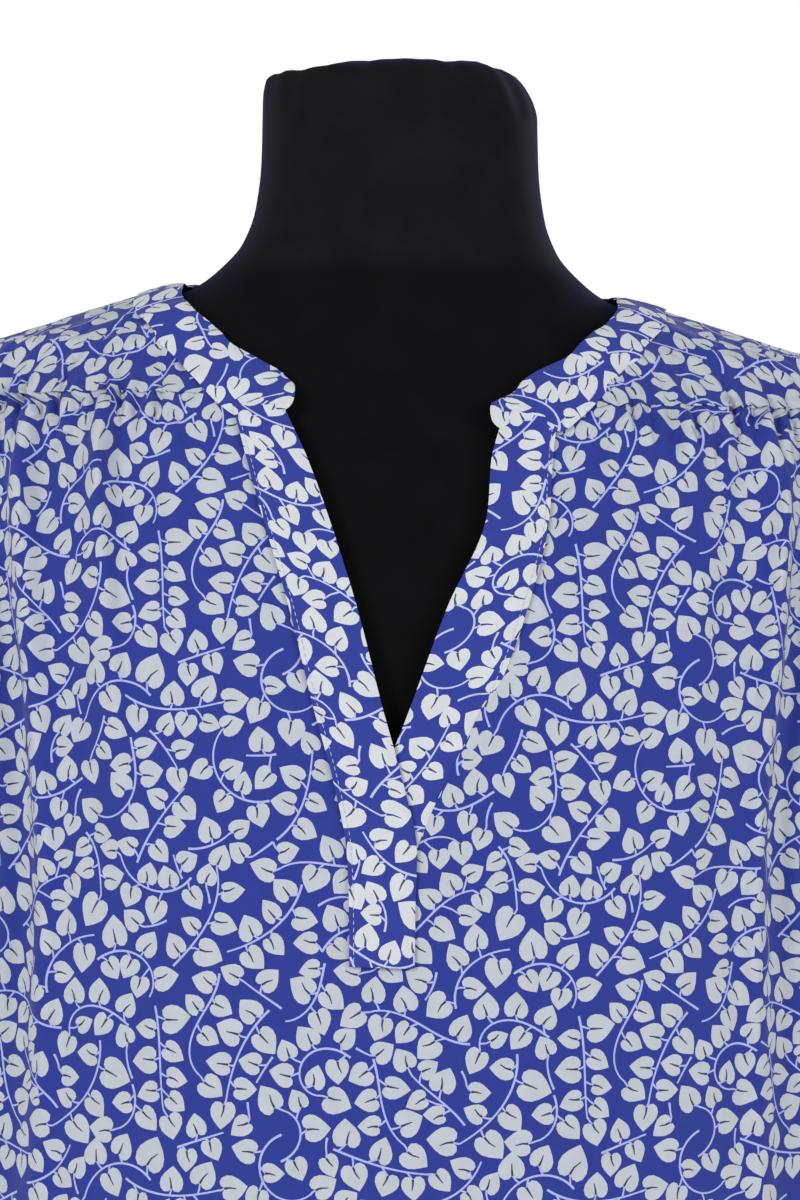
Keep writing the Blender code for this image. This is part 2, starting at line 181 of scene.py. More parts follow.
# Painted light: above the foot of the neck the jersey's colour is scaled up, as if the neck were more
# brightly lit.
painted_neck_light = node(tree, "ShaderNodeMapRange", {
    "From Min": NECK_LIGHT_FOOT - NECK_LIGHT_BLEND, "From Max": NECK_LIGHT_FOOT + NECK_LIGHT_BLEND,
    "To Min": 1.0, "To Max": NECK_PAINTED_LIGHT}, {"Value": height_on_form.outputs["Z"]})
base_colour = node(tree, "ShaderNodeVectorMath", {"operation": "SCALE"},
            {"Vector": tone.outputs["Color"], "Scale": painted_neck_light.outputs["Result"]})
bump = node(tree, "ShaderNodeBump", {"Strength": 0.35, "Distance": 0.0003}, {"Height": wales.outputs["Fac"]})
finish_material(tree, node(tree, "ShaderNodeBsdfPrincipled", {
    "Roughness": 0.9, "Sheen Weight": 0.08, "Sheen Roughness": 0.35, "Sheen Tint": linear("#4848FF"),
    "Specular IOR Level": 0.10},
    {"Base Color": base_colour.outputs["Vector"], "Normal": bump.outputs["Normal"]}))

# The jersey's puckers round the pad's rim, as waves: turns, start in degrees and strength.
PAD_PUCKERS = ((9, 40, 1.0), (14, 190, 0.7), (23, 0, 0.6), (5, 80, 0.5))
PAD_EDGE, PUCKER_RISE, PUCKER_BREADTH = 0.822, 0.0011, 0.009
# The pad's tilt: height, and how much higher its +X side is there than its middle. It grows with
# the distance across, up to a share of what it is at TILT_REACH.
PAD_TILT = ((0.8000, 0.0), (0.8210, -0.0030), (0.8250, -0.0012), (0.8290, 0.0028), (0.8340, 0.0024))
TILT_REACH, MOST_TILT = 0.05, 1.2
# The knot under the jersey: its place on top of the pad, rise, width, and height where it is full.
PAD_LUMP, PAD_LUMP_RISE, PAD_LUMP_WIDTH, PAD_LUMP_FULL = (0.030, -0.022), 0.0016, 0.007, 0.829
FORM_COLUMNS = 144
SAME_PLACE = 0.00001  # a mesh's points that are closer than this are joined
# The mesh's rows are closest at the neck's foot and round the pad's rim.
form_heights = np.concatenate((
    np.linspace(0.0, 0.70, 71, endpoint=False), np.linspace(0.70, 0.76, 25, endpoint=False),
    np.linspace(0.76, 0.810, 14, endpoint=False), np.linspace(0.810, 0.8332, 20)))


def form_point(angle, height):
    """The covered form, with the jersey puckered round the rim of the neck pad."""
    point = on_ring(form_ring, angle, height)
    wave = sum(strength * np.sin(np.radians(angle * turns + start)) for turns, start, strength in PAD_PUCKERS)
    near_rim = np.exp(-((height - PAD_EDGE) / PUCKER_BREADTH) ** 2)
    point = point + outward(form_ring, angle, height) * (wave * PUCKER_RISE * 0.5 * near_rim)[..., None]
    heights, tilts = zip(*PAD_TILT)
    from_lump = np.hypot(point[..., 0] - PAD_LUMP[0], point[..., 1] - PAD_LUMP[1]) / PAD_LUMP_WIDTH
    tilt = np.clip(point[..., 0] / TILT_REACH, -MOST_TILT, MOST_TILT)
    point[..., 2] += np.interp(height, heights, tilts) * tilt
    point[..., 2] += PAD_LUMP_RISE * np.exp(-from_lump ** 2) * ease(height, PAD_EDGE, PAD_LUMP_FULL)
    return point


form_rows = len(form_heights) - 1
bm = bmesh.new()
bmesh.ops.create_grid(bm, x_segments=FORM_COLUMNS, y_segments=form_rows, size=1.0)
spots = np.array([((vert.co.x + 1) / 2 * 360.0, round((vert.co.y + 1) / 2 * form_rows)) for vert in bm.verts])
for vert, point in zip(bm.verts, form_point(spots[:, 0], form_heights[spots[:, 1].astype(int)])):
    vert.co = point
bmesh.ops.remove_doubles(bm, verts=bm.verts, dist=SAME_PLACE)
bmesh.ops.holes_fill(bm, edges=bm.edges, sides=0)
bmesh.ops.recalc_face_normals(bm, faces=bm.faces)
mesh = bpy.data.meshes.new("dress form")
bm.to_mesh(mesh)
bm.free()
mesh.shade_smooth()
mesh.set_sharp_from_angle(angle=math.radians(60))
form = add_object("form_in_black_jersey", mesh, jersey)
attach(form, "root")
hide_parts("dress_form")


# ---------------------------------------------------------------------------------------------
# LEAF PRINT
# The cloth is blue viscose crepe, screen printed all over with small sprigs: pale curved stems
# that carry cream heart-shaped leaves on short stalks. It is drawn flat, on one repeat.
# ---------------------------------------------------------------------------------------------
REPEAT = (0.168, 0.189)  # across and up
GROUND_BLUE, LEAF_CREAM, STEM_PALE, VEIN_DARK = "#2A3A98", "#C8CED7", "#B4BEF0", "#333863"
LEAF, STEM, VEIN = 1, 2, 3
# Right half of a leaf of length 1, from its tip round the lobe to the notch.
LEAF_HALF = ((0.0, 0.55), (0.13, 0.43), (0.28, 0.27), (0.395, 0.09), (0.435, -0.11),
             (0.39, -0.30), (0.27, -0.42), (0.12, -0.41))
LEAF_NOTCH = (0.0, -0.29)
# How much a leaf varies: in width, in its left half's width, in its bend, and in its vein's bend.
LEAF_PLUMP, LEAF_UNEVEN, LEAF_BENT, VEIN_BENT = (0.98, 1.14), (0.86, 1.10), 0.20, 0.18
VEIN_START, VEIN_STEP, VEIN_POINT = 0.02, 0.22, 0.4  # below the notch, up for each step, tip's width
# Discs that stand for a leaf while the sprigs are placed: x, y, radius.
LEAF_DISCS = ((0.23, -0.17, 0.25), (-0.23, -0.17, 0.25), (0.0, 0.03, 0.38),
              (0.0, 0.27, 0.20), (0.0, 0.45, 0.08))
LEAF_LENGTH, EXTRA_LEAF_SMALLER = (0.0088, 0.0114), 0.95
# Once all are placed, each leaf is turned on its stalk and made larger to fill the gap round it.
LEAF_SWELLS = (1.36, 1.29, 1.22, 1.16, 1.10, 1.05)
LEAF_TURNS = (0.0, 0.2, -0.2, 0.4, -0.4, 0.6, -0.6, 0.8, -0.8)
SWELL_GAP, LONGEST_LEAF = 0.0009, 0.0142
STEM_WIDTH, STEM_END_WIDTH, STALK_WIDTH, VEIN_WIDTH = 0.00095, 0.00065, 0.0008, 0.00095
# A stem grows by steps; its bend, in radians a metre, starts within the first and swings by the second.
STEM_STEP, STEM_BEND, STEM_SWING = 0.0020, 74.0, 3900.0
STEPS_A_LEAF = (2.5, 3.2)
# Reach of a stalk, and its angle from the stem: at the last leaf, at the others, at an extra leaf.
STALK_REACH, EXTRA_STALK_REACH = (0.0016, 0.0046), (0.0024, 0.0095)
LAST_STALK, SIDE_STALK, EXTRA_STALK = (0.0, 30.0), (28.0, 62.0), (20.0, 100.0)
# In radians: how far a stalk bends at each of its two steps, and its leaf turns on it, either way.
STALK_BEND, EXTRA_STALK_BEND, LEAF_TURN, EXTRA_LEAF_TURN = 0.30, 0.40, 1.0, 1.1
FIRST_LEAF = 0.55  # where on its share of the stem a leaf's stalk starts
LEAF_GAP, STEM_GAP, STALK_GAP = 0.0001, 0.0005, 0.0001
EXTRA_LEAF_GAP = LEAF_GAP * 0.7
# Room that a stem's start and an extra leaf's middle need, and how far from each its neighbours reach.
STEM_START_ROOM, SPRIG_REACH, SPRIG_REACH_A_LEAF = 0.0011, 0.021, 0.0095
LEAF_MIDDLE_ROOM, LEAF_REACH, STALK_FOOT = 0.0031, 0.024, 0.0036
SWELL_REACH = 0.02
# leaves on a sprig, places tried, stalks tried at each leaf
SPRIG_ROUNDS = ((7, 1500, 20), (6, 1500, 20), (5, 2000, 18), (4, 2000, 14), (3, 3000, 14), (2, 5000, 12),
                (1, 4000, 12))
EXTRA_LEAF_TRIES = 26000

draw = random.Random(7)
taken = np.zeros((0, 3))
motifs, leaves_drawn, stem_spots = [], [], []


def is_clear(discs, others, gap):
    """True where discs keep a gap from others, counted across the repeat's edges too."""
    discs = np.asarray(discs)
    apart = others[None, :, :2] - discs[:, None, :2]
    apart -= np.round(apart / REPEAT) * REPEAT
    return bool((np.hypot(apart[..., 0], apart[..., 1]) > others[None, :, 2] + discs[:, None, 2] + gap).all())


def way_to(spot, others):
    """Distances from a spot to discs, counted across the repeat's edges too."""
    apart = others[:, :2] - spot
    apart -= np.round(apart / REPEAT) * REPEAT
    return np.hypot(apart[:, 0], apart[:, 1])


def on_leaf(leaf, px, py):
    """A leaf's own spot in the print. A leaf is its notch's x and y, its heading and its length."""
    x, y, heading, length = leaf
    right, up = math.cos(heading), math.sin(heading)
    py -= LEAF_NOTCH[1]
    return x + (px * up + py * right) * length, y + (-px * right + py * up) * length


def leaf_discs(leaf):
    """The discs that stand for a leaf, in the print."""
    return [(*on_leaf(leaf, px, py), radius * leaf[3]) for px, py, radius in LEAF_DISCS]


def ribbon(line, start, end):
    """Outline of a stroke round a centre line, from one width to another."""
    line = np.array(line)
    along = np.gradient(line, axis=0)
    along /= np.linalg.norm(along, axis=1)[:, None]
    half = np.linspace(start, end, len(line))[:, None] / 2
    across = np.stack((-along[:, 1], along[:, 0]), axis=1) * half
    return np.concatenate((line + across, (line - across)[::-1]))


def grow_stalk(spot, away, reach, bend):
    """A short curved stalk from a stem; returns its line and its last heading."""
    (px, py), stalk = spot, [spot]
    for _ in range(2):
        away += bend
        px, py = px + math.cos(away) * reach / 2, py + math.sin(away) * reach / 2
        stalk.append((px, py))
    return stalk, away


def keep_leaf(leaf, stalk, first_disc):
    """Draw a leaf's stalk, and keep the leaf until all of them are placed."""
    leaves_drawn.append((leaf, first_disc))
    motifs.append((STEM, ribbon(stalk, STALK_WIDTH, STALK_WIDTH * 0.8)))


def grow_sprig(leaves, tries):
    """Draw one sprig where there is room: a curved stem with leaves on alternate sides."""
    global taken
    x, y = draw.random() * REPEAT[0], draw.random() * REPEAT[1]
    heading = draw.random() * math.tau
    turn, swing = draw.uniform(-STEM_BEND, STEM_BEND), draw.uniform(-STEM_SWING, STEM_SWING)
    apart = way_to((x, y), taken)
    if (apart < taken[:, 2] + STEM_START_ROOM).any():
        return
    near = taken[apart < SPRIG_REACH_A_LEAF * leaves + SPRIG_REACH]
    line, headings = [(x, y)], [heading]
    for _ in range(round(leaves * draw.uniform(*STEPS_A_LEAF))):
        heading += turn * STEM_STEP
        turn += swing * STEM_STEP
        x, y = x + math.cos(heading) * STEM_STEP, y + math.sin(heading) * STEM_STEP
        line.append((x, y))
        headings.append(heading)
    stem = [(px, py, STEM_WIDTH / 2) for px, py in line]
    if not is_clear(stem, near, STEM_GAP):
        return
    made, grown, side = [], np.zeros((0, 3)), draw.choice((-1, 1))
    for number in range(leaves):
        last = number == leaves - 1
        spot = len(line) - 1 if last else round((number + FIRST_LEAF) / leaves * (len(line) - 1))
        side = -side
        for _ in range(tries):
            length, reach = draw.uniform(*LEAF_LENGTH), draw.uniform(*STALK_REACH)
            away = headings[spot] + side * math.radians(draw.uniform(*(LAST_STALK if last else SIDE_STALK)))
            stalk, away = grow_stalk(line[spot], away, reach, draw.uniform(-STALK_BEND, STALK_BEND))
            leaf = (*stalk[-1], away + draw.uniform(-LEAF_TURN, LEAF_TURN), length)
            discs = leaf_discs(leaf)
            stalk_discs = [(px, py, STALK_WIDTH / 2) for px, py in stalk[1:]]
            if (is_clear(discs, np.concatenate((near, stem, grown)), LEAF_GAP)
                    and is_clear(stalk_discs, np.concatenate((near, grown)), LEAF_GAP)):
                made.append((leaf, stalk, len(taken) + len(stem) + len(grown)))
                grown = np.concatenate((grown, discs, stalk_discs))
                break
    # A sprig may lack one of its leaves, or two where it has more than four.
    if len(made) < max(1, leaves - 1 - (leaves > 4)):
        return
    taken = np.concatenate((taken, stem, grown))
    motifs.append((STEM, ribbon(line, STEM_WIDTH, STEM_END_WIDTH)))
    stem_spots.extend(zip(line, headings))
    for found in made:
        keep_leaf(*found)


def add_leaf():
    """Draw one more leaf on a longer stalk, from any stem, where a gap is left."""
    global taken
    (x, y), heading = draw.choice(stem_spots)
    length, reach = draw.uniform(*LEAF_LENGTH) * EXTRA_LEAF_SMALLER, draw.uniform(*EXTRA_STALK_REACH)
    away = heading + draw.choice((-1, 1)) * math.radians(draw.uniform(*EXTRA_STALK))
    stalk, away = grow_stalk((x, y), away, reach, draw.uniform(-EXTRA_STALK_BEND, EXTRA_STALK_BEND))
    leaf = (*stalk[-1], away + draw.uniform(-EXTRA_LEAF_TURN, EXTRA_LEAF_TURN), length)
    apart = way_to(on_leaf(leaf, 0.0, 0.0), taken)
    if (apart < taken[:, 2] + LEAF_MIDDLE_ROOM).any():
        return
    near = taken[apart < LEAF_REACH]
    discs = leaf_discs(leaf)
    stalk_discs = [(px, py, STALK_WIDTH / 2) for px, py in stalk[1:]]
    off_stem = np.hypot(*(near[:, :2] - (x, y)).T) > STALK_FOOT
    if is_clear(discs, near, EXTRA_LEAF_GAP) and is_clear(stalk_discs, near[off_stem], STALK_GAP):
        keep_leaf(leaf, stalk, len(taken))
        taken = np.concatenate((taken, discs, stalk_discs))


def fit_leaf(leaf, first_disc):
    """The same leaf, turned and made larger. The discs after its own are its stalk's."""
    own = np.arange(first_disc, first_disc + len(LEAF_DISCS) + 2)
    others = np.delete(taken, own, axis=0)
    others = others[way_to(on_leaf(leaf, 0.0, 0.0), others) < SWELL_REACH]
    for swell in LEAF_SWELLS:
        for turn in LEAF_TURNS:
            larger = (*leaf[:2], leaf[2] + turn, leaf[3] * swell)
            discs = leaf_discs(larger)
            if larger[3] < LONGEST_LEAF and is_clear(discs, others, SWELL_GAP):
                taken[own[:len(discs)]] = discs
                return larger
    return leaf


def draw_leaf(leaf):
    """One leaf, a little plump or lean, bent to one side, and its dark curved vein."""
    plump, bent = draw.uniform(*LEAF_PLUMP), draw.uniform(-LEAF_BENT, LEAF_BENT)
    vein = draw.uniform(-VEIN_BENT, VEIN_BENT)
    uneven = draw.uniform(*LEAF_UNEVEN)
    right = [(px * plump, py) for px, py in LEAF_HALF]
    left = [(-px * plump * uneven, py) for px, py in LEAF_HALF[:0:-1]]

    def bend(px, py):
        return on_leaf(leaf, px + bent * (py - LEAF_NOTCH[1]) ** 2, py)

    motifs.append((LEAF, np.array([bend(*spot) for spot in right + [LEAF_NOTCH] + left])))
    line = [bend(vein * (step / 2) ** 2, LEAF_NOTCH[1] - VEIN_START + VEIN_STEP * step) for step in range(3)]
    motifs.append((VEIN, ribbon(line, VEIN_WIDTH, VEIN_WIDTH * VEIN_POINT)))


for leaves, rounds, tries in SPRIG_ROUNDS:
    for _ in range(rounds):
        grow_sprig(leaves, tries)
for _ in range(EXTRA_LEAF_TRIES):
    add_leaf()
# Every leaf is fitted twice, because its neighbours' turns leave new room.
for leaf, first_disc in [(fit_leaf(*found), found[1]) for found in leaves_drawn]:
    draw_leaf(fit_leaf(leaf, first_disc))


# ---------------------------------------------------------------------------------------------
# FRONT
# One panel of the printed crepe, cut out for the placket, with a curved armhole on each side.
# Its top edge is gathered into the yoke's front seam, and its foot is a narrow turned hem.
# ---------------------------------------------------------------------------------------------
# The inner face of the cloth round the body, with the dress form's columns.
CLOTH_RINGS = (
    (0.0750, 0.222, 0.160, 0.158, 0.95), (0.2500, 0.204, 0.147, 0.141, 0.92),
    (0.4000, 0.191, 0.138, 0.127, 0.88), (0.5000, 0.187, 0.131, 0.119, 0.84),
    (0.5600, 0.191, 0.123, 0.116, 0.80), (0.6200, 0.199, 0.109, 0.111, 0.78),
    (0.6600, 0.203, 0.096, 0.105, 0.78), (0.6860, 0.203, 0.084, 0.097, 0.80),
    (0.7045, 0.195, 0.073, 0.089, 0.84), (0.7108, 0.173, 0.071, 0.086, 0.86),
    (0.7210, 0.141, 0.067, 0.079, 0.90), (0.7360, 0.092, 0.063, 0.069, 0.95),
    (0.7400, 0.080, 0.062, 0.067, 0.96),
)
HEM, UNDERARM, SHOULDER_TIP = 0.075, 0.510, 0.7045
FRONT_YOKE_SEAM, BACK_YOKE_SEAM, PLACKET_FOOT = 0.684, 0.640, 0.460
CLOTH_THICKNESS = 0.0004
PANEL_LIFT = 0.0004  # of the single cloth off the rings
TUCK = 0.0035  # how far a panel runs on under the piece that is sewn over its edge
ARMHOLE_TUCK = 1.3  # degrees that it runs on under the sleeve

# The armhole edge: height, angle round the body at the front, angle at the back.
ARMHOLE = (
    (0.5100, 89.9, 90.1), (0.5200, 79.0, 101.0), (0.5500, 67.0, 113.0), (0.6000, 61.5, 118.5),
    (0.6400, 62.0, 118.0), (0.6840, 68.0, 112.0), (0.6960, 76.0, 104.0), (0.7045, 90.0, 90.0),
)
# Height, then distances across of the upper band's free edge and its seam, and of the under
# band's seam and its free edge.
PLACKET = (
    (0.460, 0.0056, -0.0196, 0.0062, -0.0185), (0.485, 0.0059, -0.0198, 0.0065, -0.0185),
    (0.505, 0.0066, -0.0208, 0.0100, -0.0165), (0.530, 0.0016, -0.0257, 0.0200, -0.0080),
    (0.560, -0.0068, -0.0340, 0.0344, 0.0036), (0.600, -0.0172, -0.0443, 0.0498, 0.0183),
    (0.640, -0.0303, -0.0565, 0.0598, 0.0350), (0.660, -0.0379, -0.0622, 0.0612, 0.0366),
    (0.672, -0.0436, -0.0656, 0.0626, 0.0396), (0.684, -0.0494, -0.0690, 0.0640, 0.0440),
)
# From a front end to the centre back: angle round the body and height of the neckband's sewn
# edge, then angle and height of its free edge.
NECKBAND = (
    (8.4, 0.6780, 8.3, 0.6885), (13.6, 0.6750, 10.0, 0.6945), (16.2, 0.6800, 12.5, 0.6990),
    (19.5, 0.6900, 17.5, 0.7062), (26.8, 0.7055, 28.5, 0.7168), (44.0, 0.7180, 45.0, 0.7262),
    (64.0, 0.7264, 64.0, 0.7330), (90.0, 0.7306, 90.0, 0.7366), (122.0, 0.7305, 115.0, 0.7380),
    (145.0, 0.7276, 135.0, 0.7385), (164.0, 0.7238, 155.0, 0.7385), (180.0, 0.7218, 180.0, 0.7385),
)
# The large soft folds: angle at the top and at the foot, half width in degrees on the side of
# the smaller angles and on the other side, rise, and the heights where the fold starts, reaches
# its full rise, and has died out.
FRONT_FOLDS = (
    (-30.2, -31.5, 7.0, 2.3, 0.0072, 0.684, 0.655, 0.430),
    (-43.5, -47.0, 6.0, 2.8, 0.0085, 0.684, 0.640, 0.150),
    (-54.0, -57.0, 5.0, 3.0, 0.0060, 0.684, 0.630, 0.200),
    (-21.5, -21.0, 4.0, 3.0, 0.0030, 0.682, 0.664, 0.560),
    (19.5, 18.5, 2.6, 5.5, 0.0040, 0.682, 0.660, 0.500),
    (30.5, 33.0, 2.6, 6.5, 0.0052, 0.684, 0.650, 0.400),
    (44.0, 46.5, 2.4, 6.0, 0.0085, 0.684, 0.645, 0.120),
    (54.0, 57.0, 3.0, 6.0, 0.0065, 0.684, 0.630, 0.200),
    (-11.0, -15.0, 12.0, 12.0, 0.0130, 0.420, 0.150, 0.000),
    (16.0, 21.0, 13.0, 13.0, 0.0150, 0.440, 0.140, 0.000),
    (-66.0, -60.0, 11.0, 11.0, 0.0110, 0.460, 0.160, 0.000),
    (67.0, 61.0, 12.0, 12.0, 0.0120, 0.440, 0.150, 0.000),
)
# Gathers under the yoke seam: angle, half width in degrees at the seam, rise (or dip), length
# down from the seam, and how many degrees the gather leans outwards by its foot.
FRONT_GATHERS = (
    (-58.5, 1.5, 0.0032, 0.050, 1.0), (-54.6, 1.2, 0.0026, 0.034, 0.5), (-50.6, 1.3, 0.0034, 0.060, -0.6),
    (-46.6, 1.1, 0.0030, 0.042, 0.4), (-42.9, 1.3, 0.0036, 0.066, 0.9), (-39.4, 1.0, 0.0026, 0.036, -0.5),
    (-36.2, 1.2, 0.0034, 0.072, 0.6), (-33.2, 0.9, 0.0024, 0.030, 0.0), (-30.4, 1.2, 0.0038, 0.090, -0.8),
    (-27.3, 0.9, 0.0022, 0.028, 0.3), (-24.8, 1.0, 0.0026, 0.040, 0.0), (-22.2, 0.8, 0.0018, 0.024, -0.3),
    (-20.0, 0.8, 0.0016, 0.020, 0.0), (21.2, 0.8, 0.0018, 0.022, 0.0), (23.6, 0.9, 0.0024, 0.034, 0.4),
    (26.2, 1.0, 0.0022, 0.026, 0.0), (29.0, 1.1, 0.0034, 0.060, 0.8), (32.0, 1.0, 0.0026, 0.034, 0.2),
    (35.2, 1.2, 0.0032, 0.054, 0.9), (38.6, 1.0, 0.0024, 0.030, -0.4), (42.0, 1.3, 0.0036, 0.076, 0.8),
    (45.8, 1.1, 0.0028, 0.038, 0.0), (49.6, 1.3, 0.0036, 0.064, 0.5), (53.4, 1.2, 0.0028, 0.036, -0.4),
    (57.6, 1.4, 0.0032, 0.054, 0.7), (62.0, 1.4, 0.0026, 0.034, 0.0),
)
# What all the gathers share: a factor on their rise, a factor on their width and what it grows by
# towards their foot, the share of the rise that is left in the seam, and where below it all is there.
GATHER_HEIGHT, GATHER_WIDER, GATHER_SPREAD = 2.3, 1.15, 1.1
GATHER_IN_SEAM, GATHER_OPENS = 0.40, 0.007
CALM_EDGE = 5.0  # degrees from the armhole over which the gathers flatten out
LAID_GATHER = 0.7  # share of the gathers' height that is flattened into the cut; the rest is eased in
# The small puckers between the gathers: height, reach below the seam, radians for each degree,
# reach above it, and how many degrees past the last gather they start to fade and are gone.
PUCKER_HEIGHT, PUCKER_REACH, PUCKER_TURNS, PUCKER_FADE = 0.0016, 0.022, 2.7, 0.018
PUCKER_END, PUCKER_GONE = 2.2, 4.5
SLACK_HEIGHT = 0.0007
# Where the print starts on the front's cut, and the mesh's spacing: plain, and on steep or
# gathered parts, which are those that lift by this much a degree, or lie this close to the seam.
FRONT_PRINT_START = (0.031, 0.017)
PANEL_SPACING, STEEP_SPACING = 0.0060, 0.0023
STEEP_SLOPE, GATHER_REACH = 0.0012, 0.030
OUTLINE_STEP, BAND_OUTLINE_STEP = 0.003, 0.002

cloth_ring = between(CLOTH_RINGS)
armhole = between(ARMHOLE)
placket = between(PLACKET)
neckband_row = between(NECKBAND)


def fold_lift(folds, angle, height):
    """How far the large folds lift the cloth."""
    lift = np.zeros(np.broadcast(angle, height).shape)
    for top_angle, foot_angle, low_width, high_width, rise, top, full, foot in folds:
        down = (top - height) / (top - foot)
        offset = angle - top_angle - (foot_angle - top_angle) * down
        offset = offset / np.where(offset < 0, low_width, high_width)
        strength = ease(height, top, full) * (1.0 - ease(height, full, foot))
        lift = lift + np.where((np.abs(offset) < 1.0) & (height > foot) & (height < top),
                               rise * strength * np.cos(offset * np.pi / 2) ** 2, 0.0)
    return lift


def gather_lift(gathers, seam, angle, height):
    """How far the gathers in a seam lift the cloth: narrow at the seam and spread out at their
    foot. Above the seam they fade out soon."""
    lift = np.zeros(np.broadcast(angle, height).shape)
    for middle, half_width, rise, length, drift in gathers:
        down = np.clip((seam - height) / length, 0.0, 1.0)
        offset = angle - middle - drift * down * np.sign(middle)
        offset = offset / (half_width * (GATHER_WIDER + GATHER_SPREAD * down))
        opened = GATHER_IN_SEAM + (1.0 - GATHER_IN_SEAM) * ease(seam - height, 0.0, GATHER_OPENS)
        strength = opened * (1.0 - down) ** 1.1
        lift = np.maximum(lift, GATHER_HEIGHT * rise * strength * np.exp(-np.abs(offset) ** 2.4))
    nearest = np.min([np.abs(angle - row[0]) for row in gathers], axis=0)
    over = height - seam
    lean = 1.6 * np.sin(angle * 0.83 + over * 95.0) + 1.1 * np.sin(angle * 0.31 - over * 160.0)
    uneven = np.sin(angle * PUCKER_TURNS + lean) * (0.7 + 0.3 * np.sin(angle * 0.37 + over * 210.0))
    small = PUCKER_HEIGHT * (1.0 + uneven) * (1.0 - ease(nearest, PUCKER_END, PUCKER_GONE))
    lift = lift + small * np.exp(-np.abs(over) / PUCKER_REACH)
    side = np.minimum(np.abs(angle), 360.0 - np.abs(angle))
    front_edge, back_edge = armhole(height)
    to_armhole = np.where(side < 90.0, front_edge - side, side - back_edge)
    return lift * np.exp(-np.maximum(over, 0.0) / PUCKER_FADE) * ease(to_armhole, 0.0, CALM_EDGE)


def steep_parts(lift, to_line_and_mark, seam):
    """A test for flat spots that lie on a steep side of a fold, or close under a gathered seam."""
    def is_steep(grid):
        height, angle = to_line_and_mark(grid)
        slope = np.abs(lift(height, angle + 0.5) - lift(height, angle - 0.5))
        return (slope > STEEP_SLOPE) | (height > seam - GATHER_REACH)

    return is_steep


def slack(angle, height):
    """The slight unevenness of soft cloth that hangs free."""
    broad = np.sin(angle * 0.21 + height * 31) * np.sin(height * 43 - angle * 0.11)
    small = 0.6 * np.sin(angle * 0.47 - height * 22 + 1.3) * np.sin(height * 67 + angle * 0.2)
    return SLACK_HEIGHT * (broad + small)


def bilinear(table, row, column):
    """Read a table between its entries."""
    row = np.clip(row, 0.0, table.shape[0] - 1.0)
    column = np.clip(column, 0.0, table.shape[1] - 1.0)
    low = np.minimum(row.astype(int), table.shape[0] - 2)
    left = np.minimum(column.astype(int), table.shape[1] - 2)
    up, over = row - low, column - left
    return ((table[low, left] * (1 - over) + table[low, left + 1] * over) * (1 - up)
            + (table[low + 1, left] * (1 - over) + table[low + 1, left + 1] * over) * up)


def lay_flat(surface, lines, marks, zero_mark, joining_mark):
    """Unroll a surface(line, mark) line by line. Returns functions to the flat cloth and back.

    Flat x is the way gone along a line from its zero mark. Flat y is the way gone from line to
    line at the joining mark.
    """
    points = surface(lines[:, None], marks[None, :])
    steps = np.linalg.norm(np.diff(points, axis=1), axis=2)
    gone = np.concatenate((np.zeros((len(lines), 1)), np.cumsum(steps, axis=1)), axis=1)
    gone -= np.array([np.interp(zero_mark, marks, row) for row in gone])[:, None]
    column = int(np.argmin(np.abs(marks - joining_mark)))
    offsets = np.concatenate(((0.0,), np.cumsum(np.linalg.norm(np.diff(points[:, column], axis=0), axis=1))))
    even = np.linspace(0.0, 1.0, len(marks))
    back = np.array([np.interp(row[0] + (row[-1] - row[0]) * even, row, marks) for row in gone])

    def to_flat(line, mark):
        row = np.interp(line, lines, np.arange(len(lines)))
        return np.stack((bilinear(gone, row, np.interp(mark, marks, np.arange(len(marks)))),
                         np.interp(line, lines, offsets)), axis=-1)

    def from_flat(spots):
        row = np.interp(spots[:, 1], offsets, np.arange(len(lines)))
        low = np.minimum(row.astype(int), len(lines) - 2)
        found = [bilinear(back, line.astype(float), (spots[:, 0] - gone[line, 0])
                          / (gone[line, -1] - gone[line, 0]) * (len(marks) - 1)) for line in (low, low + 1)]
        return np.interp(spots[:, 1], offsets, lines), found[0] + (found[1] - found[0]) * (row - low)

    return to_flat, from_flat


def walk(corners, spacing):
    """Points at an even spacing along a path of corners, ends kept."""
    corners = np.asarray(corners, dtype=float)
    gone = np.concatenate(((0.0,), np.cumsum(np.linalg.norm(np.diff(corners, axis=0), axis=1))))
    stops = np.linspace(0.0, gone[-1], max(2, int(gone[-1] / spacing) + 1))
    return np.stack([np.interp(stops, gone, corners[:, axis]) for axis in (0, 1)], axis=-1)


def inside(outline, spots):
    """True for the spots inside a closed outline."""
    found = np.zeros(len(spots), dtype=bool)
    for (ax, ay), (bx, by) in zip(outline, np.roll(outline, -1, axis=0)):
        crosses = (ay > spots[:, 1]) != (by > spots[:, 1])
        found ^= crosses & (spots[:, 0] < (bx - ax) * (spots[:, 1] - ay) / ((by - ay) or 1.0) + ax)
    return found


def flat_size(outline):
    """Width, length and area of a flat cut."""
    x, y = outline[:, 0], outline[:, 1]
    area = abs(float(np.dot(x, np.roll(y, -1)) - np.dot(y, np.roll(x, -1)))) / 2
    return (float(np.ptp(x)), float(np.ptp(y))), area


CLOSEST = 0.00006  # points of the cut that are closer than this are one
NUDGE = 0.0006  # step over the cut, from which the cloth's slope is taken
CELL = 0.002  # of the grid that finds which motifs touch the cut
NO_FACE = 1e-10  # a smaller cross product gives no direction
UNEVEN, FILL_SEED = 0.12, 5  # the fill points stray by this share of their spacing
MILLIMETRES = 1000.0
ROW_KEY = (1, 100000)  # one number for a cell's column and row


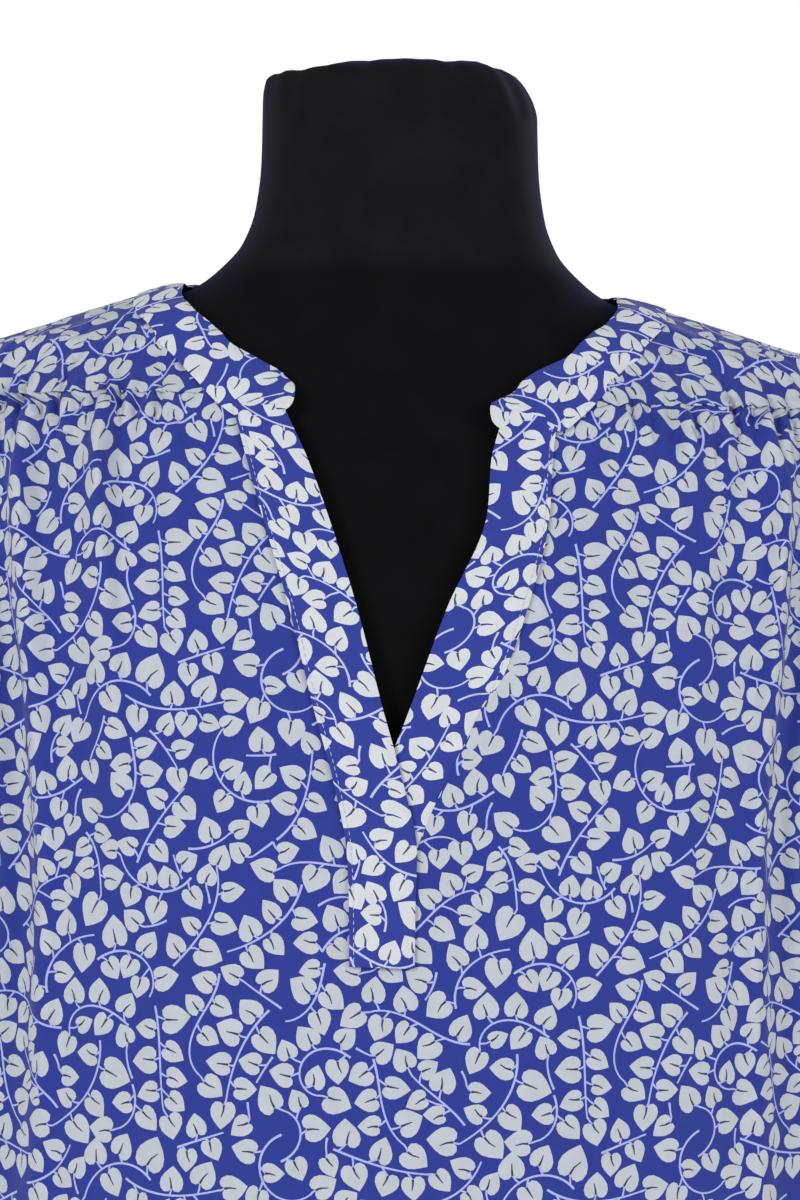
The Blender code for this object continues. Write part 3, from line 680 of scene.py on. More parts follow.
def motifs_on(outline, print_start):
    """The motifs that touch a cut: their kinds, and their outlines where they lie on it."""
    low, high = outline.min(axis=0), outline.max(axis=0)
    cells = np.stack(np.meshgrid(*(np.arange(low[axis], high[axis] + CELL, CELL) for axis in (0, 1)),
                                 indexing="ij"), axis=-1)
    cloth = inside(outline, cells.reshape(-1, 2)).reshape(cells.shape[:2])
    start, placed = np.array(print_start), []
    for kind, motif in motifs:
        near, far = motif.min(axis=0), motif.max(axis=0)
        first = np.ceil((low - start - far) / REPEAT).astype(int)
        last = np.floor((high - start - near) / REPEAT).astype(int)
        for right in range(first[0], last[0] + 1):
            for up in range(first[1], last[1] + 1):
                moved = motif + start + np.array(REPEAT) * (right, up)
                cell = ((moved - low) / CELL).round().astype(int)
                cell = np.clip(cell, 0, np.array(cloth.shape) - 1)
                if cloth[cell[:, 0], cell[:, 1]].any():
                    placed.append((kind, moved))
    return placed


def fill_points(outline, drawn, spacing, fine):
    """Points of a cut between the drawn ones, at the plain spacing and at the fine one."""
    low, high = outline.min(axis=0), outline.max(axis=0)
    shuffle, fill = np.random.default_rng(FILL_SEED), []
    for gap, wanted in ((spacing, lambda grid: ~fine[0](grid) if fine else np.ones(len(grid), dtype=bool)),
                        (fine[1] if fine else 0.0, lambda grid: fine[0](grid))):
        if gap:
            grid = np.stack(np.meshgrid(*(np.arange(low[axis], high[axis], gap) for axis in (0, 1))), axis=-1)
            grid[1::2, :, 0] += gap / 2
            grid = grid.reshape(-1, 2) + shuffle.uniform(-UNEVEN, UNEVEN, (grid.size // 2, 2)) * gap
            grid = grid[wanted(grid)]
            # A cell that already holds a drawn point needs no fill point.
            key, drawn_key = (((spot - low) // gap).astype(int) @ ROW_KEY for spot in (grid, drawn))
            grid = grid[~np.isin(key, drawn_key)]
            fill.append(grid[inside(outline, grid)])
    return fill


def printed_kinds(placed, middles):
    """What each triangle is printed with, by its middle: the highest kind of motif that covers it."""
    order = np.argsort(middles[:, 0])
    sorted_x = middles[order, 0]
    kinds = np.zeros(len(middles), dtype=int)
    for kind, motif in placed:
        near, far = motif.min(axis=0), motif.max(axis=0)
        close = order[np.searchsorted(sorted_x, near[0]):np.searchsorted(sorted_x, far[0])]
        close = close[(middles[close, 1] > near[1]) & (middles[close, 1] < far[1])]
        close = close[inside(motif, middles[close])]
        kinds[close] = np.maximum(kinds[close], kind)
    return kinds


def curved_normals(mesh, flat, to_body):
    """Normals of the curved cloth itself at a mesh's points, or the mesh's where it has none."""
    on_mesh = np.zeros(len(mesh.vertices) * 3)
    mesh.vertices.foreach_get("normal", on_mesh)
    on_mesh = on_mesh.reshape(-1, 3)
    over, up = (to_body(flat + step) - to_body(flat - step) for step in ((NUDGE, 0.0), (0.0, NUDGE)))
    on_surface = np.cross(over, up)
    size = np.linalg.norm(on_surface, axis=1, keepdims=True)
    on_surface = np.where(size > NO_FACE, on_surface / np.maximum(size, NO_FACE), on_mesh)
    return on_surface * (1.0 if (on_surface * on_mesh).sum() > 0 else -1.0)


def cut_cloth(name, outline, to_body, print_start, spacing, fine=None, walled=True, double=False,
              facing=(0, -1, 0)):
    """Cut a printed piece along its flat outline and lay it on the body.

    The cut is triangulated so that the edges of leaves, stems and veins are mesh edges. fine is
    (test, spacing) for the part that needs a closer mesh. Each corner carries its print colour.
    facing is roughly the way that the right side looks.
    """
    placed = motifs_on(outline, print_start)
    loops = [outline] + [motif for _, motif in placed]
    fill = fill_points(outline, np.concatenate(loops), spacing, fine)
    edges, count = [], 0
    for loop in loops:
        edges += [(count + index, count + (index + 1) % len(loop)) for index in range(len(loop))]
        count += len(loop)
    points = [Vector(spot) for spot in np.concatenate(loops + fill) * MILLIMETRES]
    flat, _, faces, *_ = delaunay_2d_cdt(points, edges, [], 0, CLOSEST * MILLIMETRES, False)
    flat, faces = np.array(flat) / MILLIMETRES, np.array(faces)
    middles = flat[faces].mean(axis=1)
    in_cut = inside(outline, middles)
    faces, kinds = faces[in_cut], printed_kinds(placed, middles[in_cut])
    used, faces = np.unique(faces, return_inverse=True)
    flat, faces = flat[used], faces.reshape(-1, 3)
    mesh = bpy.data.meshes.new(name)
    mesh.from_pydata(to_body(flat).tolist(), [], faces.tolist())
    normals = np.zeros(len(mesh.polygons) * 3)
    mesh.polygons.foreach_get("normal", normals)
    if (normals.reshape(-1, 3) @ np.array(facing)).sum() < 0:
        mesh.flip_normals()
    on_surface = curved_normals(mesh, flat, to_body)
    colours = np.array([linear(hex_colour) for hex_colour in (DOUBLE_COLOURS if double else SINGLE_COLOURS)])
    corner = mesh.color_attributes.new("print", "FLOAT_COLOR", "CORNER")
    corner.data.foreach_set("color", np.repeat(colours[kinds], 3, axis=0).ravel())
    threads = mesh.uv_layers.new(name="cut")
    loop_spots = np.zeros(len(mesh.loops), dtype=int)
    mesh.loops.foreach_get("vertex_index", loop_spots)
    threads.data.foreach_set("uv", flat[loop_spots].ravel())
    mesh.shade_smooth()
    # The cut's edge stays sharp, so that the wall's two sides don't shade into each other.
    loop_edges = np.zeros(len(mesh.loops), dtype=int)
    mesh.loops.foreach_get("edge_index", loop_edges)
    mesh.edges.foreach_set("use_edge_sharp", np.bincount(loop_edges, minlength=len(mesh.edges)) == 1)
    mesh.normals_split_custom_set_from_vertices(on_surface.tolist())
    made = add_object(name, mesh, crepe)
    if walled:
        wall = made.modifiers.new("cloth thickness", "SOLIDIFY")
        wall.thickness, wall.offset = CLOTH_THICKNESS, 1.0
    return made


# Printed viscose crepe: matte, very finely pebbled, slightly sheer where it is a single layer,
# so that its cream looks greyer there than where it is doubled.
SINGLE_COLOURS = (GROUND_BLUE, LEAF_CREAM, STEM_PALE, VEIN_DARK)
DOUBLE_COLOURS = ("#2F3F9E", "#DDE1E6", "#C6CEF6", "#3D4270")
CREPE_GRAIN = 0.0009  # coarser than the real 0.3 mm pebble, so that it shows
DYE_PATCH = 1.0 / 140.0  # about 7 mm: the dye takes a little unevenly
crepe, tree = new_material("blue viscose crepe, screen printed")
dye = node(tree, "ShaderNodeAttribute", {"attribute_name": "print"})
flat_place = node(tree, "ShaderNodeUVMap", {"uv_map": "cut"})
pebble = node(tree, "ShaderNodeTexNoise", {"Scale": 1.0 / CREPE_GRAIN, "Detail": 2.0},
              {"Vector": flat_place.outputs["UV"]})
uneven = node(tree, "ShaderNodeTexNoise", {"Scale": 1.0 / DYE_PATCH, "Detail": 3.0},
              {"Vector": flat_place.outputs["UV"]})
depth = node(tree, "ShaderNodeMapRange", {"From Min": 0.3, "From Max": 0.7, "To Min": 0.955, "To Max": 1.03},
             {"Value": uneven.outputs["Fac"]})
base_colour = node(tree, "ShaderNodeVectorMath", {"operation": "SCALE"},
            {"Vector": dye.outputs["Color"], "Scale": depth.outputs["Result"]})
grain = node(tree, "ShaderNodeBump", {"Strength": 0.25, "Distance": 0.0002},
             {"Height": pebble.outputs["Fac"]})
finish_material(tree, node(tree, "ShaderNodeBsdfPrincipled", {
    "Roughness": 0.82, "Sheen Weight": 0.12, "Sheen Roughness": 0.5, "Specular IOR Level": 0.3},
    {"Base Color": base_colour.outputs["Vector"], "Normal": grain.outputs["Normal"]}))


def angle_at(x, height):
    """Angle on the front half of the cloth's ring at a distance across."""
    side, _, _, roundness = cloth_ring(height)
    return np.sign(x) * np.degrees(np.arcsin(np.minimum(np.abs(x) / side, 1.0) ** (1.0 / roundness)))


def neck_seam(angle):
    """Height of the neckband's sewn edge."""
    return neckband_row(np.minimum(np.abs(angle), 360.0 - np.abs(angle)))[0]


def front_lift(height, angle, gathered=1.0):
    """How far the front's cloth stands off its ring."""
    return (fold_lift(FRONT_FOLDS, angle, height) + slack(angle, height) + PANEL_LIFT
            + gathered * gather_lift(FRONT_GATHERS, FRONT_YOKE_SEAM, angle, height))


def front_surface(height, angle, gathered=1.0):
    """The front's cloth in place; gathered is the share of the gathers' height."""
    lift = front_lift(height, angle, gathered)
    return on_ring(cloth_ring, angle, height) + outward(cloth_ring, angle, height) * lift[..., None]


front_flat, front_body = lay_flat(lambda height, angle: front_surface(height, angle, LAID_GATHER),
                                  np.linspace(HEM - 0.005, 0.70, 400),
                                  np.linspace(-93.0, 93.0, 900), 0.0, 0.0)


def front_outline():
    """The flat cut, from the hem round the armholes, the yoke seam and the placket's seams."""
    heights = np.linspace(UNDERARM, FRONT_YOKE_SEAM + TUCK, 60)
    down = np.linspace(FRONT_YOKE_SEAM + TUCK, PLACKET_FOOT + TUCK, 70)
    path = [(HEM, angle) for angle in np.linspace(-90, 90, 90)]
    path += [(height, 90.0) for height in np.linspace(HEM, UNDERARM, 60)[1:]]
    tucked = [min(float(armhole(height)[0]) + ARMHOLE_TUCK, 90.0) for height in heights]
    path += list(zip(heights, tucked))[1:]
    for side, column in ((1, 2), (-1, 1)):
        seam = [(height, float(angle_at(placket(height)[column] - side * TUCK, height))) for height in down]
        inner = seam[0][1]
        outer = side * tucked[-1]
        top = [(min(FRONT_YOKE_SEAM + TUCK, float(neck_seam(angle)) + TUCK), angle)
               for angle in np.linspace(outer, inner, 80)]
        kept = [spot for spot in seam if spot[0] < top[-1][0]]
        path += top[1:] + kept if side > 0 else kept[::-1] + top[::-1][:-1]
    path += [(height, -edge) for height, edge in zip(heights[::-1], tucked[::-1])]
    path += [(height, -90.0) for height in np.linspace(UNDERARM, HEM, 60)[1:-1]]
    path = np.array(path)
    return walk(front_flat(path[:, 0], path[:, 1]), OUTLINE_STEP)


outline = front_outline()
front_cut, front_area = flat_size(outline)
front_piece = cut_cloth("front_panel", outline, lambda flat: front_surface(*front_body(flat)),
                        FRONT_PRINT_START, PANEL_SPACING,
                        (steep_parts(front_lift, front_body, FRONT_YOKE_SEAM), STEEP_SPACING), walled=False)
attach(front_piece, "root")
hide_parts("front")


# ---------------------------------------------------------------------------------------------
# PLACKET BANDS
# Two straight bands of doubled crepe finish the front opening. The wearer's right one laps over
# the left one below the point of the V, and both are stitched across at their foot.
# ---------------------------------------------------------------------------------------------
BAND_LIFT, BAND_PLUMP = 0.0014, 0.0009
# How far the under band sinks behind the other, and the heights between which it does.
UNDER_DROP, UNDER_DROP_TOP, UNDER_DROP_FOOT = 0.0022, 0.600, 0.556
BAND_SPACING = 0.0035


def band_surface(side):
    """The band on side -1 laps over the other one."""
    free, sewn = (0, 1) if side < 0 else (3, 2)

    def surface(height, share):
        height, share = np.broadcast_arrays(height, share)
        edges = placket(height)
        angle = angle_at(edges[free] + (edges[sewn] - edges[free]) * share, height)
        lift = BAND_LIFT + fold_lift(FRONT_FOLDS, angle, height) + slack(angle, height)
        lift = lift + BAND_PLUMP * (1.0 - np.abs(2.0 * share - 1.0) ** 5)
        if side > 0:
            lift = lift - UNDER_DROP * (1.0 - ease(height, UNDER_DROP_FOOT, UNDER_DROP_TOP))
        return on_ring(cloth_ring, angle, height) + outward(cloth_ring, angle, height) * lift[..., None]

    return surface


band_cuts = []
for name, cad_node, side, print_start in (("placket_band_under", "placket_under", 1, (0.083, 0.020)),
                                          ("placket_band_upper", "placket_upper", -1, (0.020, 0.131))):
    surface = band_surface(side)
    band_flat, band_body = lay_flat(surface, np.linspace(PLACKET_FOOT, 0.70, 240),
                                    np.linspace(0.0, 1.0, 40), 0.0, 0.5)
    heights = np.linspace(PLACKET_FOOT, FRONT_YOKE_SEAM, 90)
    head = placket(FRONT_YOKE_SEAM)
    free, sewn = (head[0], head[1]) if side < 0 else (head[3], head[2])
    top = []
    for share in np.linspace(0.0, 1.0, 12):
        angle = angle_at(free * (1 - share) + sewn * share, FRONT_YOKE_SEAM)
        top.append((min(FRONT_YOKE_SEAM, float(neck_seam(angle)) + TUCK), share))
    path = [(PLACKET_FOOT, share) for share in np.linspace(1.0, 0.0, 10)]
    path += [(height, 0.0) for height in heights[1:] if height < top[0][0]] + top
    path += [(height, 1.0) for height in heights[:0:-1] if height < top[-1][0]]
    path = np.array(path)
    outline = walk(band_flat(path[:, 0], path[:, 1]), BAND_OUTLINE_STEP)
    band = cut_cloth(name, outline, lambda flat: surface(*band_body(flat)), print_start, BAND_SPACING,
                     double=True)
    band_cuts.append((band, flat_size(outline)))
    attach(band, "root")
    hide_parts(cad_node)


# ---------------------------------------------------------------------------------------------
# YOKE
# One piece of the crepe over both shoulders and across the top of the back. The front and the
# back are gathered into its edges.
# ---------------------------------------------------------------------------------------------
# The angle where it starts in front, its lift off the rings, and how much longer the sloping
# shoulder is than its distance across.
YOKE_START, YOKE_LIFT, SHOULDER_SLOPE = 18.2, 0.0007, 1.03
YOKE_LOW_FRONT, YOKE_LOW_BACK, NECK_TOP = 0.676, 0.630, 0.740
YOKE_HALF_WIDTH, YOKE_FRONT_WAY, YOKE_BACK_WAY, SIDE_RIDGE_FOOT = 0.2029, -0.13, 0.21, 0.6862
YOKE_SPACING, YOKE_PUCKERED = 0.0055, 0.022
# The gathers in the back's top edge, with the front gathers' columns.
BACK_GATHERS = (
    (124.0, 1.6, 0.0030, 0.040, 0.0), (128.4, 1.4, 0.0036, 0.070, -0.8), (132.6, 1.2, 0.0026, 0.036, 0.4),
    (136.8, 1.5, 0.0032, 0.052, 0.0), (141.3, 1.3, 0.0030, 0.040, -0.5), (145.6, 1.5, 0.0038, 0.080, 0.6),
    (150.0, 1.2, 0.0024, 0.030, 0.0), (154.1, 1.4, 0.0034, 0.060, -0.6), (158.9, 1.3, 0.0028, 0.038, 0.3),
    (163.3, 1.5, 0.0036, 0.074, 0.5), (167.9, 1.2, 0.0026, 0.034, 0.0), (172.2, 1.4, 0.0032, 0.050, 0.4),
    (177.0, 1.3, 0.0028, 0.036, -0.3), (181.6, 1.5, 0.0036, 0.066, 0.0), (186.1, 1.2, 0.0026, 0.032, 0.4),
    (190.4, 1.4, 0.0034, 0.058, -0.4), (195.2, 1.3, 0.0028, 0.042, 0.5), (199.7, 1.5, 0.0038, 0.078, 0.6),
    (204.0, 1.2, 0.0026, 0.034, 0.0), (208.3, 1.4, 0.0032, 0.054, -0.5), (212.9, 1.3, 0.0028, 0.038, 0.3),
    (217.4, 1.5, 0.0036, 0.068, 0.7), (222.0, 1.3, 0.0028, 0.040, 0.0), (226.8, 1.5, 0.0034, 0.062, 0.5),
    (231.6, 1.6, 0.0030, 0.042, 0.0),
)


def yoke_surface(height, angle):
    """The yoke lies close on the gathered edges and takes up their puckers there."""
    lift = YOKE_LIFT + slack(angle, height) + np.where(
        np.abs(angle) < 90, gather_lift(FRONT_GATHERS, FRONT_YOKE_SEAM, angle, height),
        gather_lift(BACK_GATHERS, BACK_YOKE_SEAM, angle % 360.0, height))
    return on_ring(cloth_ring, angle, height) + outward(cloth_ring, angle, height) * lift[..., None]


# The yoke is unrolled in strips that run from front to back at one distance across.
yoke_x = np.linspace(-YOKE_HALF_WIDTH, YOKE_HALF_WIDTH, 261)
yoke_ways = np.linspace(YOKE_FRONT_WAY, YOKE_BACK_WAY, 500)
side_heights = np.linspace(SIDE_RIDGE_FOOT, NECK_TOP, 300)
yoke_heights = np.linspace(YOKE_LOW_BACK, NECK_TOP, 300)
ridge = np.interp(-np.abs(yoke_x), -cloth_ring(side_heights)[0], side_heights)
strip_angles, strip_heights, front_ways, back_ways = [], [], [], []
for x, crest in zip(yoke_x, ridge):
    ways, angles, heights = [], [], []
    for low, back_half in ((YOKE_LOW_FRONT, False), (YOKE_LOW_BACK, True)):
        height = crest - (crest - low) * np.linspace(0.0, 1.0, 90) ** 2
        side, _, _, roundness = cloth_ring(height)
        angle = np.degrees(np.arcsin(np.minimum(abs(x) / side, 1.0) ** (1.0 / roundness)))
        angle = 180.0 - angle if back_half else angle
        strip = on_ring(cloth_ring, angle, height)
        gone = np.concatenate(((0.0,), np.cumsum(np.linalg.norm(np.diff(strip, axis=0), axis=1))))
        gone += abs(strip[0, 1])
        ways.append(gone if back_half else -gone)
        angles.append(angle)
        heights.append(height)
    front_ways.append(np.interp(-yoke_heights, -heights[0], ways[0]))
    back_ways.append(np.interp(-yoke_heights, -heights[1], ways[1]))
    way = np.concatenate((ways[0][::-1], ways[1]))
    strip_angles.append(np.interp(yoke_ways, way, np.concatenate((angles[0][::-1], angles[1]))))
    strip_heights.append(np.interp(yoke_ways, way, np.concatenate((heights[0][::-1], heights[1]))))
strip_angles, strip_heights = np.array(strip_angles), np.array(strip_heights)
front_ways, back_ways = np.array(front_ways), np.array(back_ways)


def yoke_flat(height, angle):
    """Spots on the flat cut: across, and the way from front to back."""
    x = on_ring(cloth_ring, angle, height)[..., 0]
    column = np.interp(x, yoke_x, np.arange(len(yoke_x)))
    row = np.interp(height, yoke_heights, np.arange(len(yoke_heights)))
    way = np.where(np.abs(angle) < 90.0, bilinear(front_ways, column, row), bilinear(back_ways, column, row))
    return np.stack((x * SHOULDER_SLOPE, way), axis=-1)


def yoke_body(flat):
    """Height and angle of spots on the flat cut."""
    column = np.interp(flat[:, 0] / SHOULDER_SLOPE, yoke_x, np.arange(len(yoke_x)))
    row = np.interp(flat[:, 1], yoke_ways, np.arange(len(yoke_ways)))
    side = np.where(flat[:, 0] < 0, -1.0, 1.0)
    return bilinear(strip_heights, column, row), side * bilinear(strip_angles, column, row)


def by_a_seam(grid):
    """True for flat spots close to a gathered seam."""
    height, angle = yoke_body(grid)
    return height < np.where(np.abs(angle) < 90.0, FRONT_YOKE_SEAM, BACK_YOKE_SEAM) + YOKE_PUCKERED


corner = float(armhole(FRONT_YOKE_SEAM)[0])
back_corner = float(armhole(BACK_YOKE_SEAM)[1])
half = [(FRONT_YOKE_SEAM, angle) for angle in np.linspace(YOKE_START, corner, 50)]
half += [(height, float(armhole(height)[0]))
         for height in np.linspace(FRONT_YOKE_SEAM, SHOULDER_TIP, 14)[1:-1]]
half += [(height, float(armhole(height)[1])) for height in np.linspace(SHOULDER_TIP, BACK_YOKE_SEAM, 30)]
half += [(BACK_YOKE_SEAM, angle) for angle in np.linspace(back_corner, 180.0, 60)[1:]]
neck = [(float(neck_seam(angle)) + TUCK, angle) for angle in np.linspace(180.0, YOKE_START, 150)]
path = np.array(half[:-1] + [(height, -angle) for height, angle in half[::-1]]
                + [(height, -angle) for height, angle in neck[::-1]] + neck[1:])
outline = walk(yoke_flat(path[:, 0], path[:, 1]), OUTLINE_STEP)
yoke_cut, yoke_area = flat_size(outline)
yoke_piece = cut_cloth("yoke_panel", outline, lambda flat: yoke_surface(*yoke_body(flat)), (0.011, 0.090),
                       YOKE_SPACING, (by_a_seam, STEEP_SPACING), facing=(0, 0, 1))
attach(yoke_piece, "root")
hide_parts("yoke")


# ---------------------------------------------------------------------------------------------
# NECKBAND
# A narrow standing band of doubled crepe, folded along its free edge. Its two ends are turned in,
# rounded, and reach a little past the top of the placket.
# ---------------------------------------------------------------------------------------------
NECKBAND_START, NECKBAND_END = 8.4, 351.6
# How far each end reaches past the placket, where that stops, and how much of each end's corners
# is rounded off, all in degrees.
LEFT_END_REACH, RIGHT_END_REACH, END_REACH_STOP, END_ROUND, END_BLUNT = 1.75, 0.2, 12.6, 1.2, 2.5
# The left end hangs lower, up to this many degrees from the front.
LEFT_END_DROP, DROP_STOP = 0.0042, 17.0
NECKBAND_LIFT, NECKBAND_PLUMP, NECKBAND_CLEAR = 0.0014, 0.0008, 0.0002
NECKBAND_SPACING, NECKBAND_OUTLINE_STEP = 0.0035, 0.0012


def neckband_surface(sewn_angle, share):
    """Share 0 is the free edge and 1 the sewn edge."""
    share, sewn_angle = np.broadcast_arrays(share, sewn_angle)
    half_angle = np.minimum(sewn_angle, 360.0 - sewn_angle)
    sewn_height, free_angle, free_height = neckband_row(half_angle)
    free_angle = np.where(sewn_angle > 180.0, 360.0 - free_angle, free_angle)
    reach = np.where(sewn_angle < 180.0, -LEFT_END_REACH, RIGHT_END_REACH)
    reach = reach * (1.0 - ease(half_angle, NECKBAND_START, END_REACH_STOP))
    angle = free_angle + (sewn_angle - free_angle) * share + reach
    height = free_height + (sewn_height - free_height) * share
    drop = np.where(sewn_angle < 180.0, LEFT_END_DROP, 0.0)
    height = height - drop * (1.0 - ease(half_angle, NECKBAND_START, DROP_STOP))
    plump = NECKBAND_PLUMP * (1.0 - np.abs(2.0 * share - 1.0) ** 4)
    lift = NECKBAND_LIFT * share ** 0.6 + plump + NECKBAND_CLEAR
    lift = lift + slack(angle, height)
    return on_ring(cloth_ring, angle, height) + outward(cloth_ring, angle, height) * lift[..., None]


neckband_flat, neckband_body = lay_flat(neckband_surface, np.linspace(NECKBAND_START, NECKBAND_END, 900),
                                        np.linspace(0.0, 1.0, 40), 1.0, 0.5)
end_shares = 0.5 - 0.5 * np.cos(np.linspace(0.0, math.pi, 40))
rounded = END_ROUND * (1.0 - (1.0 - np.abs(2.0 * end_shares - 1.0) ** END_BLUNT) ** (1.0 / END_BLUNT))
path = [(angle, 0.0) for angle in np.linspace(NECKBAND_START + END_ROUND, NECKBAND_END - END_ROUND, 400)]
path += [(NECKBAND_END - cut, share) for cut, share in zip(rounded[1:-1], end_shares[1:-1])]
path += [(angle, 1.0) for angle in np.linspace(NECKBAND_END - END_ROUND, NECKBAND_START + END_ROUND, 400)]
path += [(NECKBAND_START + cut, share) for cut, share in zip(rounded[-2:0:-1], end_shares[-2:0:-1])]
path = np.array(path)
outline = walk(neckband_flat(path[:, 0], path[:, 1]), NECKBAND_OUTLINE_STEP)
neckband_cut, neckband_area = flat_size(outline)
neckband_piece = cut_cloth("neckband_strip", outline, lambda flat: neckband_surface(*neckband_body(flat)),
                           (0.05, 0.06), NECKBAND_SPACING, double=True, facing=(0, -0.3, 1))
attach(neckband_piece, "root")
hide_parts("neckband")


# ---------------------------------------------------------------------------------------------
# BACK
# One panel of the crepe from side seam to side seam, gathered into the yoke's back seam, with a
# narrow turned hem like the front's.
# ---------------------------------------------------------------------------------------------
# The folds, with the front folds' columns.
BACK_FOLDS = (
    (131.0, 129.0, 3.0, 6.5, 0.0085, 0.640, 0.600, 0.180),
    (146.0, 145.0, 3.5, 6.0, 0.0055, 0.640, 0.605, 0.300),
    (163.0, 160.0, 3.0, 6.5, 0.0075, 0.640, 0.600, 0.220),
    (183.0, 185.0, 6.0, 3.5, 0.0060, 0.640, 0.605, 0.330),
    (201.0, 204.0, 6.5, 3.0, 0.0080, 0.640, 0.600, 0.200),
    (216.0, 218.0, 6.0, 4.0, 0.0055, 0.640, 0.605, 0.280),
    (229.0, 231.0, 6.0, 3.0, 0.0085, 0.640, 0.600, 0.160),
    (172.0, 174.0, 13.0, 13.0, 0.0130, 0.400, 0.150, 0.000),
    (212.0, 209.0, 12.0, 12.0, 0.0110, 0.380, 0.160, 0.000),
    (118.0, 122.0, 11.0, 11.0, 0.0100, 0.420, 0.150, 0.000),
)


def back_lift(height, angle, gathered=1.0):
    """How far the back's cloth stands off its ring."""
    return (fold_lift(BACK_FOLDS, angle, height) + slack(angle, height) + PANEL_LIFT
            + gathered * gather_lift(BACK_GATHERS, BACK_YOKE_SEAM, angle, height))


def back_surface(height, angle, gathered=1.0):
    """The back's cloth in place; gathered is the share of the gathers' height."""
    lift = back_lift(height, angle, gathered)
    return on_ring(cloth_ring, angle, height) + outward(cloth_ring, angle, height) * lift[..., None]


back_flat, back_body = lay_flat(lambda height, angle: back_surface(height, angle, LAID_GATHER),
                                np.linspace(HEM - 0.005, 0.66, 380),
                                np.linspace(87.0, 273.0, 900), 180.0, 180.0)
heights = np.linspace(UNDERARM, BACK_YOKE_SEAM + TUCK, 50)
back_edge = np.maximum(armhole(heights)[1] - ARMHOLE_TUCK, 90.0)
path = [(HEM, angle) for angle in np.linspace(90.0, 270.0, 90)]
path += [(height, 270.0) for height in np.linspace(HEM, UNDERARM, 60)[1:]]
path += [(height, 360.0 - edge) for height, edge in zip(heights[1:], back_edge[1:])]
path += [(BACK_YOKE_SEAM + TUCK, angle)
         for angle in np.linspace(360.0 - back_edge[-1], back_edge[-1], 90)[1:]]
path += [(height, edge) for height, edge in zip(heights[-2::-1], back_edge[-2::-1])]
path += [(height, 90.0) for height in np.linspace(UNDERARM, HEM, 60)[1:-1]]
path = np.array(path)
outline = walk(back_flat(path[:, 0], path[:, 1]), OUTLINE_STEP)
back_cut, back_area = flat_size(outline)
back_piece = cut_cloth("back_panel", outline, lambda flat: back_surface(*back_body(flat)),
                       (0.070, 0.033), PANEL_SPACING,
                       (steep_parts(back_lift, back_body, BACK_YOKE_SEAM), STEEP_SPACING),
                       walled=False, facing=(0, 1, 0))
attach(back_piece, "root")
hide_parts("back")


# ---------------------------------------------------------------------------------------------
# SLEEVES
# Two short set-in sleeves of the crepe. They hang empty from the armholes, in soft folds, and
# each cuff is a narrow turned hem.
# ---------------------------------------------------------------------------------------------
# The cuff's opening: the middle's distance out, its half depth, and the middle's height; its half
# width, how much its outer side is higher, and where the shoulder bends down.
SLEEVE_OPENING = (0.232, 0.078, 0.462)
SLEEVE_OPENING_HALF_WIDTH, SLEEVE_OPENING_TILT, SLEEVE_SHOULDER_DROP = 0.030, 0.010, 0.25
SLEEVE_SLACK, SLEEVE_PUCKER, SLEEVE_PUCKER_REACH = 0.0008, 0.0012, 0.10
SLEEVE_SPACING = 0.0050
FOLD_SHIFTS = {-1: 0.0, 1: 7.0}  # degrees by which each side's folds are turned round
# Folds down the sleeve: angle round it (0 on top, 90 in front), half width, rise, and the shares
# of the way from armhole to cuff where the fold starts and is full.
SLEEVE_FOLDS = (
    (28.0, 13.0, 0.0052, 0.02, 0.30), (61.0, 12.0, 0.0060, 0.10, 0.55), (100.0, 15.0, 0.0050, 0.05, 0.45),
    (146.0, 16.0, 0.0045, 0.20, 0.80), (-22.0, 11.0, 0.0045, 0.04, 0.35), (-55.0, 14.0, 0.0060, 0.02, 0.40),
    (-92.0, 13.0, 0.0050, 0.12, 0.60), (-135.0, 16.0, 0.0040, 0.20, 0.80), (2.0, 9.0, 0.0030, 0.0, 0.12),
)


def sleeve_plain(side, angle, share):
    """The sleeve without its folds; share runs from 0 at the armhole to 1 at the cuff."""
    high, ahead = np.cos(np.radians(angle)), np.sin(np.radians(angle))
    height = (SHOULDER_TIP + UNDERARM) / 2 + (SHOULDER_TIP - UNDERARM) / 2 * high
    edges = armhole(height)
    start = on_ring(cloth_ring, side * np.where(ahead >= 0, edges[0], edges[1]), height)
    opening_x, opening_y, opening_z = SLEEVE_OPENING
    end = np.stack((side * (opening_x + SLEEVE_OPENING_HALF_WIDTH * high), -opening_y * ahead,
                    opening_z + SLEEVE_OPENING_TILT * high), axis=-1)
    bend = np.stack((end[..., 0], (start[..., 1] + end[..., 1]) / 2,
                     start[..., 2] + (end[..., 2] - start[..., 2]) * SLEEVE_SHOULDER_DROP), axis=-1)
    share = share[..., None]
    return start * (1 - share) ** 2 + bend * 2 * share * (1 - share) + end * share ** 2


